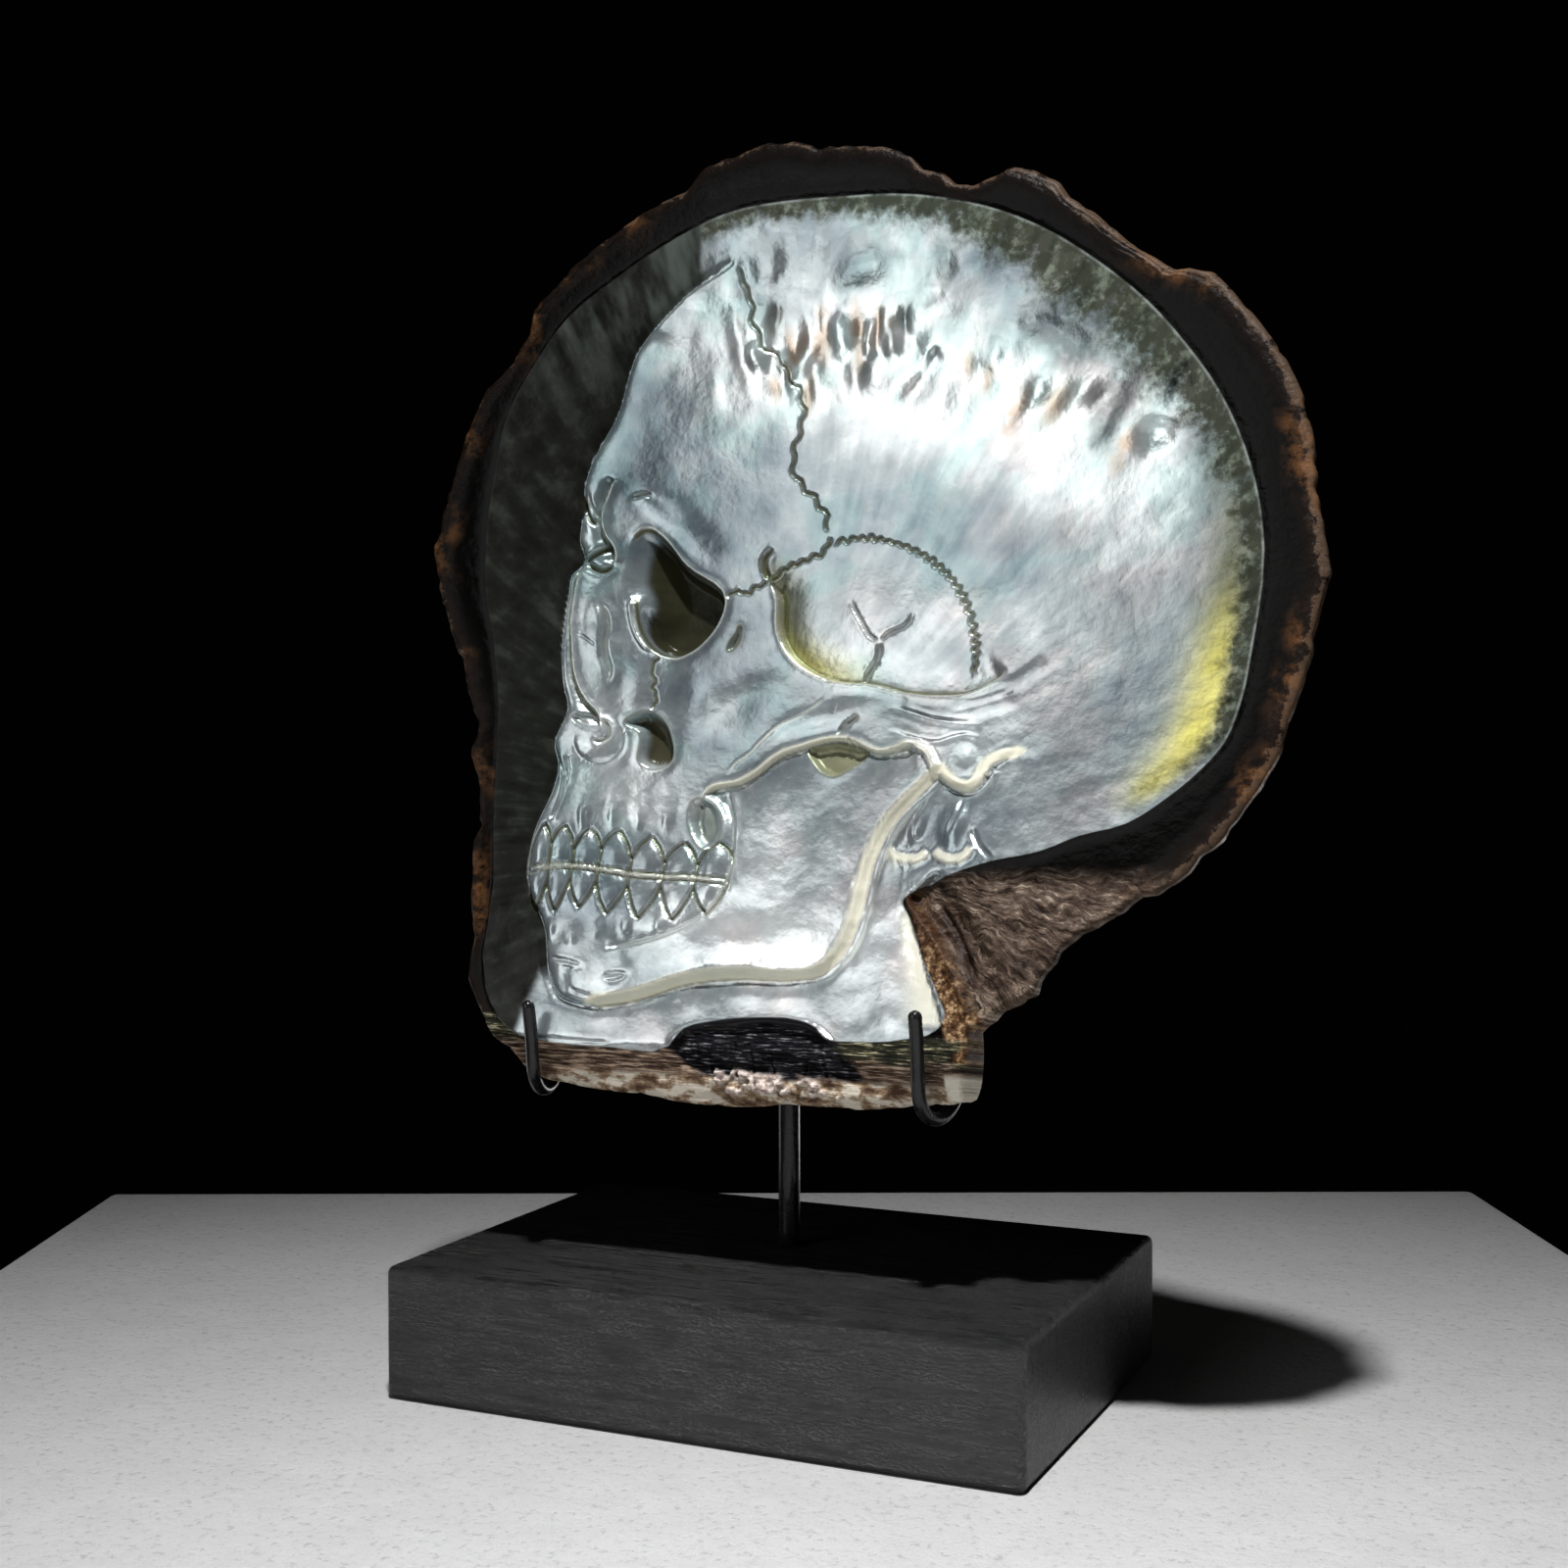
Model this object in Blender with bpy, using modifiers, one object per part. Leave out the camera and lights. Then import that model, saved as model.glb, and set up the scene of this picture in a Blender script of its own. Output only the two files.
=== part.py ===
"""Engraved mother-of-pearl shell on a small display stand.

One pearl oyster valve, carved on its inner side with a skull in profile, leans back on a bent steel
rod and stands in two wire hooks. The rod stands in a black wooden block.

Lengths are in millimetres until they are put into a mesh. The frame is +X right, +Y back, +Z up,
with its origin at the centre of the block's underside. On the shell, u runs right, v runs up the
slope from the hinge, and w points out of the hollow face towards the viewer.
"""

import math

import bmesh
import bpy
import numpy as np

MM = 0.001
GAP = 0.35

# Wooden block
BASE_WIDTH = 120.0
BASE_DEPTH = 80.0
BASE_HEIGHT = 24.0
BASE_EDGE = 2.2

# Shell, placed by its hinge
HINGE_Y = -25.0
HINGE_Z = 54.8
LEAN = math.radians(10.0)
SHELL_CENTRE = (2.0, 92.0)
BOWL_DEPTH = 16.0
BOWL_POWER = 1.35
BACK_DEPTH = 20.0
BACK_POWER = 1.1
LIP_THICKNESS = 3.2
HINGE_PLATE_TOP = 10.0
HINGE_PLATE_SLOPE = 0.55
HINGE_BACK = 12.5
HINGE_EDGE_CUT = 4.5
SHELL_CELLS = 150
SHELL_TRIANGLES = 8000

# Steel rod and wire hooks
ROD_RADIUS = 2.0
ROD_Y = 3.8
ROD_STRAIGHT_TOP = 92.0
ROD_REST = (56.0, 76.0)
WIRE_RADIUS = 1.2
HOOK_X = {"hook_left": -38.4, "hook_right": 36.9}
HOOK_FRONT_Y = -24.4
HOOK_REACH = 14.6
HOOK_CENTRE_Z = 60.0
HOOK_TIP_RISE = {"hook_left": 11.3, "hook_right": 13.3}
HOOK_TIP_LEAN = 1.8
ARM_Z = 63.0

# Rim of the shell as (u, v), anticlockwise from the right end of the hinge
RIM = (
    (45.5, 3.7), (47.0, 15.0), (53.2, 20.1), (58.6, 27.6), (68.9, 36.0), (80.2, 42.7),
    (88.9, 53.9), (94.5, 63.5), (97.5, 74.6), (100.1, 87.3), (100.1, 97.8), (98.2, 108.5),
    (96.4, 118.5), (92.8, 127.9), (86.5, 135.7), (80.1, 144.4), (73.3, 145.5), (61.4, 154.8),
    (52.2, 163.6), (43.0, 167.7), (35.8, 165.4), (26.2, 169.8), (14.4, 175.6), (4.9, 176.3),
    (-4.7, 178.5), (-18.7, 175.0), (-32.1, 166.7), (-45.0, 158.6), (-54.1, 146.1), (-63.6, 133.9),
    (-68.4, 119.3), (-71.7, 103.7), (-66.0, 87.8), (-59.1, 71.0), (-57.8, 59.1), (-56.4, 46.0),
    (-54.5, 32.1), (-54.8, 19.3), (-48.5, 8.8), (-41.4, 2.2), (-21.9, 0.9), (8.5, 1.0), (32.3, 2.1),
)

# Skull, facing left: edge of the forehead, face and chin, then under the jaw and up its rear edge
FACE_EDGE = (
    (-12.4, 156.7), (-22.3, 151.1), (-31.5, 141.9), (-35.9, 129.9), (-41.5, 118.7), (-42.5, 108.2),
    (-41.5, 100.9), (-44.1, 94.6), (-42.8, 81.8), (-41.2, 72.2), (-42.8, 64.4), (-42.1, 57.0),
    (-45.2, 42.8), (-41.9, 33.2), (-39.3, 26.5), (-37.3, 20.2), (-32.3, 16.5), (-21.5, 17.4),
    (-10.5, 21.2), (4.7, 22.6), (14.1, 23.4), (19.5, 29.5), (21.9, 43.3), (26.6, 53.3), (32.9, 60.4),
)
FACE_CLOSE = ((45.0, 45.0), (130.0, 30.0), (130.0, 220.0), (-12.4, 220.0))
ORBIT = (
    (-31.3, 106.0), (-28.1, 107.2), (-23.9, 103.3), (-17.4, 97.2), (-12.8, 93.6), (-13.7, 89.0),
    (-16.9, 84.6), (-21.5, 82.0), (-26.3, 83.7), (-29.6, 88.7), (-31.6, 96.1),
)
NOSTRIL = (
    (-29.7, 69.6), (-26.3, 71.7), (-22.3, 70.0), (-20.5, 64.8), (-23.3, 60.8), (-26.7, 63.5),
)
CHEEK_EDGE = (
    (-13.3, 55.4), (-9.7, 57.9), (-4.0, 60.0), (1.3, 64.1), (8.9, 66.4), (20.5, 64.5), (28.3, 66.1),
    (32.4, 62.7),
)
TEMPLE_EDGE = (
    (-4.6, 96.9), (-2.0, 88.2), (1.1, 82.5), (8.1, 78.3), (20.7, 75.8), (36.4, 74.6), (44.6, 78.8),
)
JAW_FRONT = (
    (-8.2, 57.3), (-5.1, 46.9), (-6.8, 36.4), (-14.7, 29.7), (-27.1, 25.9),
)
BITE_LINE = ((-45.2, 40.4), (-31.1, 41.3), (-18.7, 40.3), (-5.3, 39.7))
TOOTH_TOPS = ((-44.8, 45.5), (-38.7, 49.0), (-28.1, 48.7), (-16.0, 46.9), (-6.0, 45.5))
TOOTH_TIPS = ((-42.5, 33.9), (-32.5, 33.3), (-20.7, 32.2), (-8.9, 33.4))
FACE_HEIGHT = 2.4
FACE_SHOULDER = 9.0
FACE_FADE_RIGHT = (10.0, 60.0)
FACE_FADE_TOP = (118.0, 152.0)


def clear_scene():
    for item in list(bpy.data.objects):
        bpy.data.objects.remove(item, do_unlink=True)


def collection(name):
    made = bpy.data.collections.new(name)
    bpy.context.scene.collection.children.link(made)
    return made


def material(name, colour, roughness, metallic):
    made = bpy.data.materials.new(name)
    made.use_nodes = True
    shader = made.node_tree.nodes["Principled BSDF"]
    shader.inputs["Base Color"].default_value = (*colour, 1.0)
    shader.inputs["Roughness"].default_value = roughness
    shader.inputs["Metallic"].default_value = metallic
    return made


def add_mesh(name, mesh, finish, home):
    item = bpy.data.objects.new(name, mesh)
    mesh.materials.append(finish)
    mesh.shade_smooth()
    mesh.set_sharp_from_angle(angle=math.radians(35.0))
    home.objects.link(item)
    return item


def smooth(low, high, x):
    t = np.clip((x - low) / (high - low), 0.0, 1.0)
    return t * t * (3.0 - 2.0 * t)


def line_distance(points, line, closed=False):
    """Distance to a line and the side of it: +1 to the left of its direction, -1 to the right."""
    ends = np.array(line + line[:1] if closed else line, float)
    best = np.full(len(points), 1e9)
    side = np.ones(len(points))
    for a, b in zip(ends[:-1], ends[1:]):
        run = b - a
        rel = points - a
        t = np.clip(rel @ run / (run @ run), 0.0, 1.0)
        away = np.hypot(*(rel - t[:, None] * run).T)
        cross = run[0] * rel[:, 1] - run[1] * rel[:, 0]
        nearer = away < best
        best = np.where(nearer, away, best)
        side = np.where(nearer, np.where(cross >= 0.0, 1.0, -1.0), side)
    return best, side


def inside(points, outline):
    """True where a ray to the right crosses the outline an odd number of times."""
    ends = np.array(outline + outline[:1], float)
    found = np.zeros(len(points), bool)
    for (ax, ay), (bx, by) in zip(ends[:-1], ends[1:]):
        if ay == by:
            continue
        spans = (points[:, 1] >= min(ay, by)) & (points[:, 1] < max(ay, by))
        crossing = ax + (points[:, 1] - ay) * (bx - ax) / (by - ay)
        found ^= spans & (crossing > points[:, 0])
    return found


def rim_radius(angle):
    """Rim's distance from the shell's centre, read between its points by their angle."""
    rim = np.array(RIM) - SHELL_CENTRE
    angles = np.mod(np.arctan2(rim[:, 1], rim[:, 0]), 2.0 * math.pi)
    order = np.argsort(angles)
    return np.interp(
        np.mod(angle, 2.0 * math.pi), angles[order], np.hypot(*rim.T)[order], period=2.0 * math.pi
    )


def disc_to_shell(square):
    """Square grid to disc by x = s sqrt(1 - t t / 2), y = t sqrt(1 - s s / 2), then out to the rim."""
    s, t = square.T
    disc = np.stack([s * np.sqrt(1.0 - t * t / 2.0), t * np.sqrt(1.0 - s * s / 2.0)], -1)
    angle = np.arctan2(disc[:, 1], disc[:, 0])
    return np.array(SHELL_CENTRE) + disc * rim_radius(angle)[:, None]


def spread(points):
    """Distance from the centre as a share of the rim's mean distance within 14 degrees of that way."""
    rel = points - SHELL_CENTRE
    angle = np.arctan2(rel[:, 1], rel[:, 0])
    turns = np.radians(np.linspace(-14.0, 14.0, 9))
    mean = sum(rim_radius(angle + turn) for turn in turns) / len(turns)
    return np.clip(np.hypot(*rel.T) / mean, 0.0, 1.0)


def bowl(points):
    """Hollow face without its carving: a bowl, and the hinge plate sloping away under it."""
    depth = BOWL_DEPTH * (1.0 - spread(points) ** 2) ** BOWL_POWER
    plate = np.clip(HINGE_PLATE_TOP - points[:, 1], 0.0, None) * HINGE_PLATE_SLOPE
    return -depth - plate


def back(points):
    """Outer face: a deeper bowl, thickest along the hinge and eased towards its lower edge."""
    depth = LIP_THICKNESS + BACK_DEPTH * (1.0 - spread(points) ** 2) ** BACK_POWER
    hinge = smooth(28.0, 8.0, points[:, 1])
    thick = HINGE_BACK - HINGE_EDGE_CUT * smooth(7.0, 0.5, points[:, 1])
    return -(depth * (1.0 - hinge) + thick * hinge)


def carving(points):
    """Height of the skull over the bowl: a rounded body, then hollows, steps and lines cut in it."""
    edge, _ = line_distance(points, FACE_EDGE)
    body = np.where(inside(points, FACE_EDGE + FACE_CLOSE), edge, 0.0)
    round_in = np.sqrt(1.0 - (1.0 - np.clip(body / FACE_SHOULDER, 0.0, 1.0)) ** 2)
    fade = 1.0 - smooth(*FACE_FADE_RIGHT, points[:, 0])
    fade *= 1.0 - smooth(*FACE_FADE_TOP, points[:, 1] + 0.35 * points[:, 0])
    height = FACE_HEIGHT * round_in * fade

    for outline, depth, wall in ((ORBIT, 4.6, 2.5), (NOSTRIL, 2.6, 2.0)):
        away, _ = line_distance(points, outline, closed=True)
        height -= depth * smooth(0.0, wall, np.where(inside(points, outline), away, 0.0))

    steps = (
        (CHEEK_EDGE, -1.0, 1.8, 12.0),
        (TEMPLE_EDGE, 1.0, 1.3, 9.0),
        (JAW_FRONT, -1.0, 1.1, 4.0),
        (TOOTH_TOPS, -1.0, 0.6, 3.5),
        (TOOTH_TIPS, 1.0, 0.6, 3.5),
        (BITE_LINE, 1.0, 0.7, 2.0),
    )
    for line, low_side, depth, ramp in steps:
        away, side = line_distance(points, line)
        cut = depth * np.clip(1.0 - away / ramp, 0.0, 1.0) ** 2
        height -= np.where(side == low_side, cut, 0.0)
    return height


def place(points, w):
    """Shell coordinates to the frame of the whole object, in metres."""
    u, v = points.T
    y = HINGE_Y + v * math.sin(LEAN) - w * math.cos(LEAN)
    z = HINGE_Z + v * math.cos(LEAN) + w * math.sin(LEAN)
    return np.stack([u, y, z], -1) * MM


def make_shell(finish, home):
    """A grid drawn out to the shell's rim, extruded to its back, then thinned to flat facets."""
    build = bmesh.new()
    bmesh.ops.create_grid(build, x_segments=SHELL_CELLS, y_segments=SHELL_CELLS, size=1.0)
    grown = bmesh.ops.extrude_face_region(build, geom=list(build.faces), use_keep_orig=True)
    for item in grown["geom"]:
        if isinstance(item, bmesh.types.BMVert):
            item.co.z = 1.0
    square = np.array([vert.co for vert in build.verts])
    points = disc_to_shell(square[:, :2])
    front = square[:, 2] > 0.5
    w = np.where(front, bowl(points) + carving(points), back(points))
    for vert, spot in zip(build.verts, place(points, w)):
        vert.co = spot
    bmesh.ops.recalc_face_normals(build, faces=list(build.faces))
    mesh = bpy.data.meshes.new("shell")
    build.to_mesh(mesh)
    faces = len(build.faces)
    build.free()
    shell = add_mesh("shell", mesh, finish, home)
    thin = shell.modifiers.new("facets", "DECIMATE")
    thin.ratio = SHELL_TRIANGLES / (2.0 * faces)
    return shell


def make_base(finish, home):
    bpy.ops.mesh.primitive_cube_add(size=1.0, location=(0.0, 0.0, BASE_HEIGHT * MM / 2.0))
    block = bpy.context.active_object
    block.name = "base"
    block.scale = (BASE_WIDTH * MM, BASE_DEPTH * MM, BASE_HEIGHT * MM)
    bpy.ops.object.transform_apply(location=False, rotation=False, scale=True)
    for owner in list(block.users_collection):
        owner.objects.unlink(block)
    home.objects.link(block)
    block.data.materials.append(finish)
    bevel = block.modifiers.new("eased edges", "BEVEL")
    bevel.width = BASE_EDGE * MM
    bevel.segments = 3
    bevel.limit_method = "ANGLE"
    return block


def make_wire(name, route, radius, finish, home, tip=False):
    """A bent wire along its route, with its first end rounded where tip is set."""
    curve = bpy.data.curves.new(name, "CURVE")
    curve.dimensions = "3D"
    curve.bevel_depth = radius * MM
    curve.bevel_resolution = 2
    curve.use_fill_caps = True
    spline = curve.splines.new("POLY")
    spline.points.add(len(route) - 1)
    for point, spot in zip(spline.points, route):
        point.co = (*(np.array(spot) * MM), 1.0)
    if tip:
        spline.points[0].radius = 0.45
        spline.points[1].radius = 0.85
    curve.materials.append(finish)
    wire = bpy.data.objects.new(name, curve)
    home.objects.link(wire)
    return wire


def rod_route():
    """Up from the block, then leaning back along the outside of the shell."""
    straight = [(0.0, ROD_Y, z) for z in (BASE_HEIGHT + GAP, 60.0, ROD_STRAIGHT_TOP)]
    rest = []
    for v in np.linspace(*ROD_REST, 6):
        near = np.array([[0.0, v - 1.0], [0.0, v + 1.0]])
        below, above = place(near, back(near)) / MM
        along = (above - below) / np.linalg.norm(above - below)
        outward = np.array([0.0, along[2], -along[1]])
        rest.append(tuple((below + above) / 2.0 + outward * (ROD_RADIUS + GAP)))
    return straight + rest


def hook_route(x, tip_rise):
    """Down in front of the hinge, round under it, up behind it and in to the rod."""
    reach = HOOK_REACH / 2.0
    middle = HOOK_FRONT_Y + reach
    tip_z = HOOK_CENTRE_Z + tip_rise
    front = [
        (x, HOOK_FRONT_Y - HOOK_TIP_LEAN, tip_z),
        (x, HOOK_FRONT_Y - HOOK_TIP_LEAN * 0.9, tip_z - 0.7),
        (x, HOOK_FRONT_Y - HOOK_TIP_LEAN * 0.75, tip_z - 1.8),
        (x, HOOK_FRONT_Y - HOOK_TIP_LEAN * 0.25, HOOK_CENTRE_Z + tip_rise * 0.4),
    ]
    turn = [
        (x, middle - reach * math.cos(a), HOOK_CENTRE_Z - reach * math.sin(a))
        for a in np.linspace(0.0, math.radians(160.0), 9)
    ]
    inward = np.sign(x)
    start = np.array([x - inward * 1.6, middle + reach + 2.4, ARM_Z])
    axis = np.array([0.0, ROD_Y, ARM_Z])
    toward = (axis - start) / np.linalg.norm(axis - start)
    end = axis - toward * (ROD_RADIUS + GAP)
    corner = (x - inward * 0.4, middle + reach + 0.9, ARM_Z - 1.6)
    return front + turn + [corner, tuple(start), tuple(end)]


def main():
    clear_scene()
    home = collection("engraved shell on stand")
    nacre = material("nacre", (0.74, 0.77, 0.78), 0.25, 0.0)
    wood = material("black wood", (0.015, 0.013, 0.012), 0.35, 0.0)
    steel = material("black steel", (0.02, 0.02, 0.022), 0.2, 0.6)
    make_shell(nacre, home)
    make_base(wood, home)
    make_wire("rod", rod_route(), ROD_RADIUS, steel, home)
    for name, x in HOOK_X.items():
        make_wire(name, hook_route(x, HOOK_TIP_RISE[name]), WIRE_RADIUS, steel, home, tip=True)


main()
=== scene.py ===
"""Engraved mother-of-pearl shell on its stand: every finished surface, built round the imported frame.

The shell is one closed mesh. Its face is a square lattice drawn out to the rim, finer along the carving,
and its height is a bowl with the skull's body, hollows, ledges, grooves and mounds added one by one.
Lengths in the functions are millimetres until a mesh is filled. On the shell, u runs right, v runs up the
slope from the hinge and w points out of the hollow face, as in the frame's own source.
"""

import math

import bpy
import numpy as np
from mathutils import Matrix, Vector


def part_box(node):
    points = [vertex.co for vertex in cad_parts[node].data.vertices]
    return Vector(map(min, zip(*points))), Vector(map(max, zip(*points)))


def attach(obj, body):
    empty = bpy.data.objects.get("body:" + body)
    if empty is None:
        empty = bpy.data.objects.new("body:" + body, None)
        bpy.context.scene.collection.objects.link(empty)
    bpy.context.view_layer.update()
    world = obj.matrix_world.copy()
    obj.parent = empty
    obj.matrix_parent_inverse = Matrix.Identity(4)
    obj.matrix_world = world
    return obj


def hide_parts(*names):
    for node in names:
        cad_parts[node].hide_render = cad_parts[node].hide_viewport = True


bl_info = {
    "name": "Engraved Pearl Shell",
    "version": (1, 0, 0),
    "blender": (4, 5, 0),
    "location": "3D View > Sidebar > Pearl Shell",
    "description": "Builds a carved mother-of-pearl shell in its wire stand",
    "category": "Add Mesh",
}

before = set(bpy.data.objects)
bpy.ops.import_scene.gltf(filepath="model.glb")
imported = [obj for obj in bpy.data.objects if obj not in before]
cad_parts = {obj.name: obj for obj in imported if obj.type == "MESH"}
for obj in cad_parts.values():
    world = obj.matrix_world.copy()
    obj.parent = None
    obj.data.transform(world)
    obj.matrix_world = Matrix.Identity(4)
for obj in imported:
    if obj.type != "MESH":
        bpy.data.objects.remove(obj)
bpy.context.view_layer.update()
MM = 0.001

# Shell, placed by its hinge
HINGE_Y = -25.0
HINGE_Z = 54.8
LEAN = math.radians(10.0)
SHELL_CENTRE = np.array([2.0, 92.0])
BOWL_DEPTH = 16.0
BOWL_POWER = 1.35
BACK_DEPTH = 20.0
BACK_POWER = 1.1
LIP_THICKNESS = 3.2
HINGE_PLATE_TOP = 10.0
HINGE_PLATE_SLOPE = 0.55
HINGE_BACK = 12.5
HINGE_EDGE_CUT = 4.5
FAN_CENTRE = np.array([0.0, 50.0])
GROWTH_CENTRE = np.array([5.0, -2.0])
NOTCH_CENTRE = np.array([24.0, 44.0])
MAP_SPAN = 100.0

# Lattice: its cells, and how near a cut, the pearl's edge, a fold or the rim its cells are split
LATTICE_CELLS = 130
SPLIT_TWICE_NEAR_CUT = 0.9
SPLIT_TWICE_NEAR_PEARL_EDGE = 0.5
SPLIT_NEAR_CUT = 1.9
SPLIT_NEAR_PEARL_EDGE = 1.0
SPLIT_ON_FLANK = 0.2
SPLIT_NEAR_RIM = 1.6
FRONT_INSET = 0.7
BACK_INSET = 0.9
# Rings round the rim: how far in from it, and share of the way from front to back
RIM_TURNS = ((0.22, 0.12), (0.0, 0.32), (0.5, 0.5), (0.1, 0.7), (0.35, 0.9))
BACK_BORDER = -12.0
FAR = 99.0

# Rim as (u, v), clockwise from the left end of the hinge
RIM = (
    (-38.8, 2.2), (-43.0, 4.6), (-45.2, 7.2), (-48.1, 8.8), (-54.8, 19.3), (-54.1, 26.6),
    (-56.4, 46.0), (-55.3, 47.9), (-56.6, 56.3), (-59.1, 62.9), (-58.1, 65.7), (-58.2, 68.5),
    (-61.0, 74.3), (-62.2, 79.1), (-64.7, 83.9), (-71.7, 103.7), (-70.6, 106.6), (-68.4, 119.3),
    (-63.6, 133.9), (-57.5, 139.8), (-54.1, 146.1), (-53.4, 150.1), (-45.0, 158.6), (-28.7, 168.7),
    (-22.2, 171.1), (-18.7, 175.0), (-4.7, 178.5), (-0.6, 178.3), (4.9, 176.3), (10.8, 176.1),
    (18.3, 174.9), (23.8, 172.5), (26.2, 169.8), (30.1, 168.5), (32.4, 166.4), (35.8, 165.4),
    (41.2, 166.6), (43.0, 167.7), (45.2, 167.6), (52.2, 163.6), (54.1, 161.0), (65.0, 151.6),
    (73.3, 145.5), (75.8, 145.7), (80.1, 144.4), (92.8, 127.9), (95.5, 121.9), (97.3, 115.1),
    (98.4, 105.2), (101.1, 91.3), (98.5, 80.9), (98.6, 78.5), (94.9, 67.4), (94.5, 63.5),
    (87.2, 50.7), (84.5, 47.2), (81.7, 45.1), (80.2, 42.7), (75.3, 38.9), (72.4, 38.7),
    (65.8, 33.8), (62.5, 32.3), (59.4, 29.3), (58.6, 27.6), (56.6, 25.6), (54.8, 21.8),
    (52.4, 20.3), (48.4, 19.0), (44.2, 14.6), (43.2, 3.6), (34.0, 2.2), (10.8, 1.0),
    (-19.2, 0.9), (-31.7, 1.4),
)

# Edge of the pearly layer, clockwise from the bottom left
PEARL_EDGE = (
    (-36.2, 9.0), (-42.3, 10.0), (-47.9, 14.2), (-50.0, 17.7), (-51.2, 37.9), (-52.5, 49.0),
    (-54.0, 71.6), (-56.5, 83.2), (-59.8, 95.0), (-60.7, 106.8), (-59.8, 118.4), (-57.4, 130.0),
    (-52.4, 139.4), (-45.9, 147.9), (-35.8, 155.3), (-23.7, 162.1), (-13.8, 165.8), (-1.8, 167.0),
    (10.3, 166.5), (26.2, 164.7), (37.6, 161.4), (48.6, 156.3), (59.7, 148.7), (68.5, 140.9),
    (75.5, 132.7), (81.7, 123.7), (86.2, 114.0), (89.0, 104.5), (90.1, 96.3), (88.8, 79.9),
    (87.2, 70.2), (85.0, 64.2), (81.2, 59.7), (75.6, 55.0), (69.1, 50.9), (60.6, 48.8),
    (53.8, 46.2), (44.9, 44.5), (36.6, 41.9), (30.2, 38.9), (28.7, 37.4), (29.6, 35.6), (33.6, 28.2),
    (38.2, 20.6), (39.8, 17.4), (38.3, 15.0), (33.6, 13.5), (22.5, 12.4), (18.4, 12.6), (16.1, 14.4),
    (12.3, 15.6), (4.5, 15.7), (-4.5, 14.5), (-9.2, 13.0), (-12.0, 9.7), (-24.1, 8.8),
)

# Skull, facing left: forehead and face, then under the jaw and up its rear edge to the ear
PROFILE = (
    (-12.4, 156.7), (-22.3, 151.1), (-27.1, 146.9), (-31.5, 141.9), (-35.9, 129.9), (-41.5, 118.7),
    (-42.3, 114.9), (-41.8, 111.1), (-42.6, 108.2), (-42.7, 105.3), (-41.5, 100.9), (-43.7, 98.6),
    (-44.1, 94.6), (-42.6, 76.9), (-41.2, 72.2), (-42.8, 64.4), (-41.7, 61.1), (-42.1, 57.0),
    (-44.8, 47.5), (-45.0, 39.1), (-40.4, 30.2), (-37.3, 20.2), (-35.3, 17.6), (-32.3, 16.5),
    (-28.2, 16.2),
)
JAW_EDGE = (
    (-28.2, 16.2), (-21.5, 17.4), (-10.5, 21.2), (-2.0, 22.5), (10.5, 22.7), (14.1, 23.4),
    (16.6, 24.9), (18.4, 27.2), (19.5, 29.5), (22.6, 46.9), (24.0, 50.1), (32.9, 60.4),
)
EAR_EDGE = (
    (32.9, 60.4), (34.2, 59.2), (36.2, 57.6), (38.9, 57.0), (40.7, 58.1), (41.7, 60.2), (43.1, 62.0),
    (47.4, 63.1),
)
HEAD_CLOSE = ((62.0, 66.0), (130.0, 66.0), (130.0, 220.0), (-12.4, 220.0))
FACE_HEIGHT = 2.4
FACE_SHOULDER = 9.0
FACE_FADE_RIGHT = (10.0, 60.0)
FACE_FADE_TOP = (118.0, 152.0)
JAW_WALL = 1.8

# Hollows of the skull
ORBIT_HARD = (
    (-31.3, 106.0), (-29.8, 107.2), (-28.1, 107.2), (-26.3, 106.1), (-20.9, 100.3), (-12.8, 93.6),
    (-13.7, 89.0), (-15.0, 86.7), (-19.2, 82.8), (-21.5, 82.0), (-23.7, 82.3), (-26.3, 83.7),
    (-28.3, 86.0), (-29.6, 88.7), (-30.4, 92.6),
)
ORBIT_SOFT = ((-30.4, 92.6), (-32.2, 96.1), (-32.3, 99.9), (-31.3, 106.0))
NOSTRIL = (
    (-29.7, 69.6), (-28.1, 71.0), (-26.3, 71.7), (-22.3, 70.0), (-20.9, 67.6), (-20.6, 61.6),
    (-23.3, 60.8), (-26.0, 61.7), (-26.8, 67.7),
)
NOSTRIL_LEFT = ((-40.0, 70.0), (-37.1, 71.1), (-34.8, 70.1), (-33.7, 68.4), (-38.5, 68.5))
CHEEK_PIT = ((-14.2, 55.6), (-12.5, 55.4), (-9.5, 53.0), (-8.6, 48.0), (-10.4, 45.6), (-13.2, 47.0))
CHEEK_HOLE = ((-9.5, 88.7), (-9.1, 86.8), (-9.9, 84.6), (-11.4, 83.8), (-11.2, 85.8), (-10.2, 87.2))
JAW_PIT = (
    (6.5, 64.9), (8.1, 62.3), (10.3, 60.4), (12.7, 59.7), (15.2, 61.0), (18.6, 64.2), (15.7, 65.4),
    (12.5, 66.0), (9.0, 65.6),
)

TEMPLE_LINE = (
    (-4.6, 96.9), (-2.9, 94.6), (-2.0, 88.2), (-1.0, 85.4), (1.1, 82.5), (4.4, 80.0), (8.1, 78.3),
    (12.6, 77.2), (16.7, 76.9), (25.7, 74.8), (31.6, 74.4), (36.4, 74.6), (41.6, 76.7), (44.6, 78.8),
)
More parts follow.
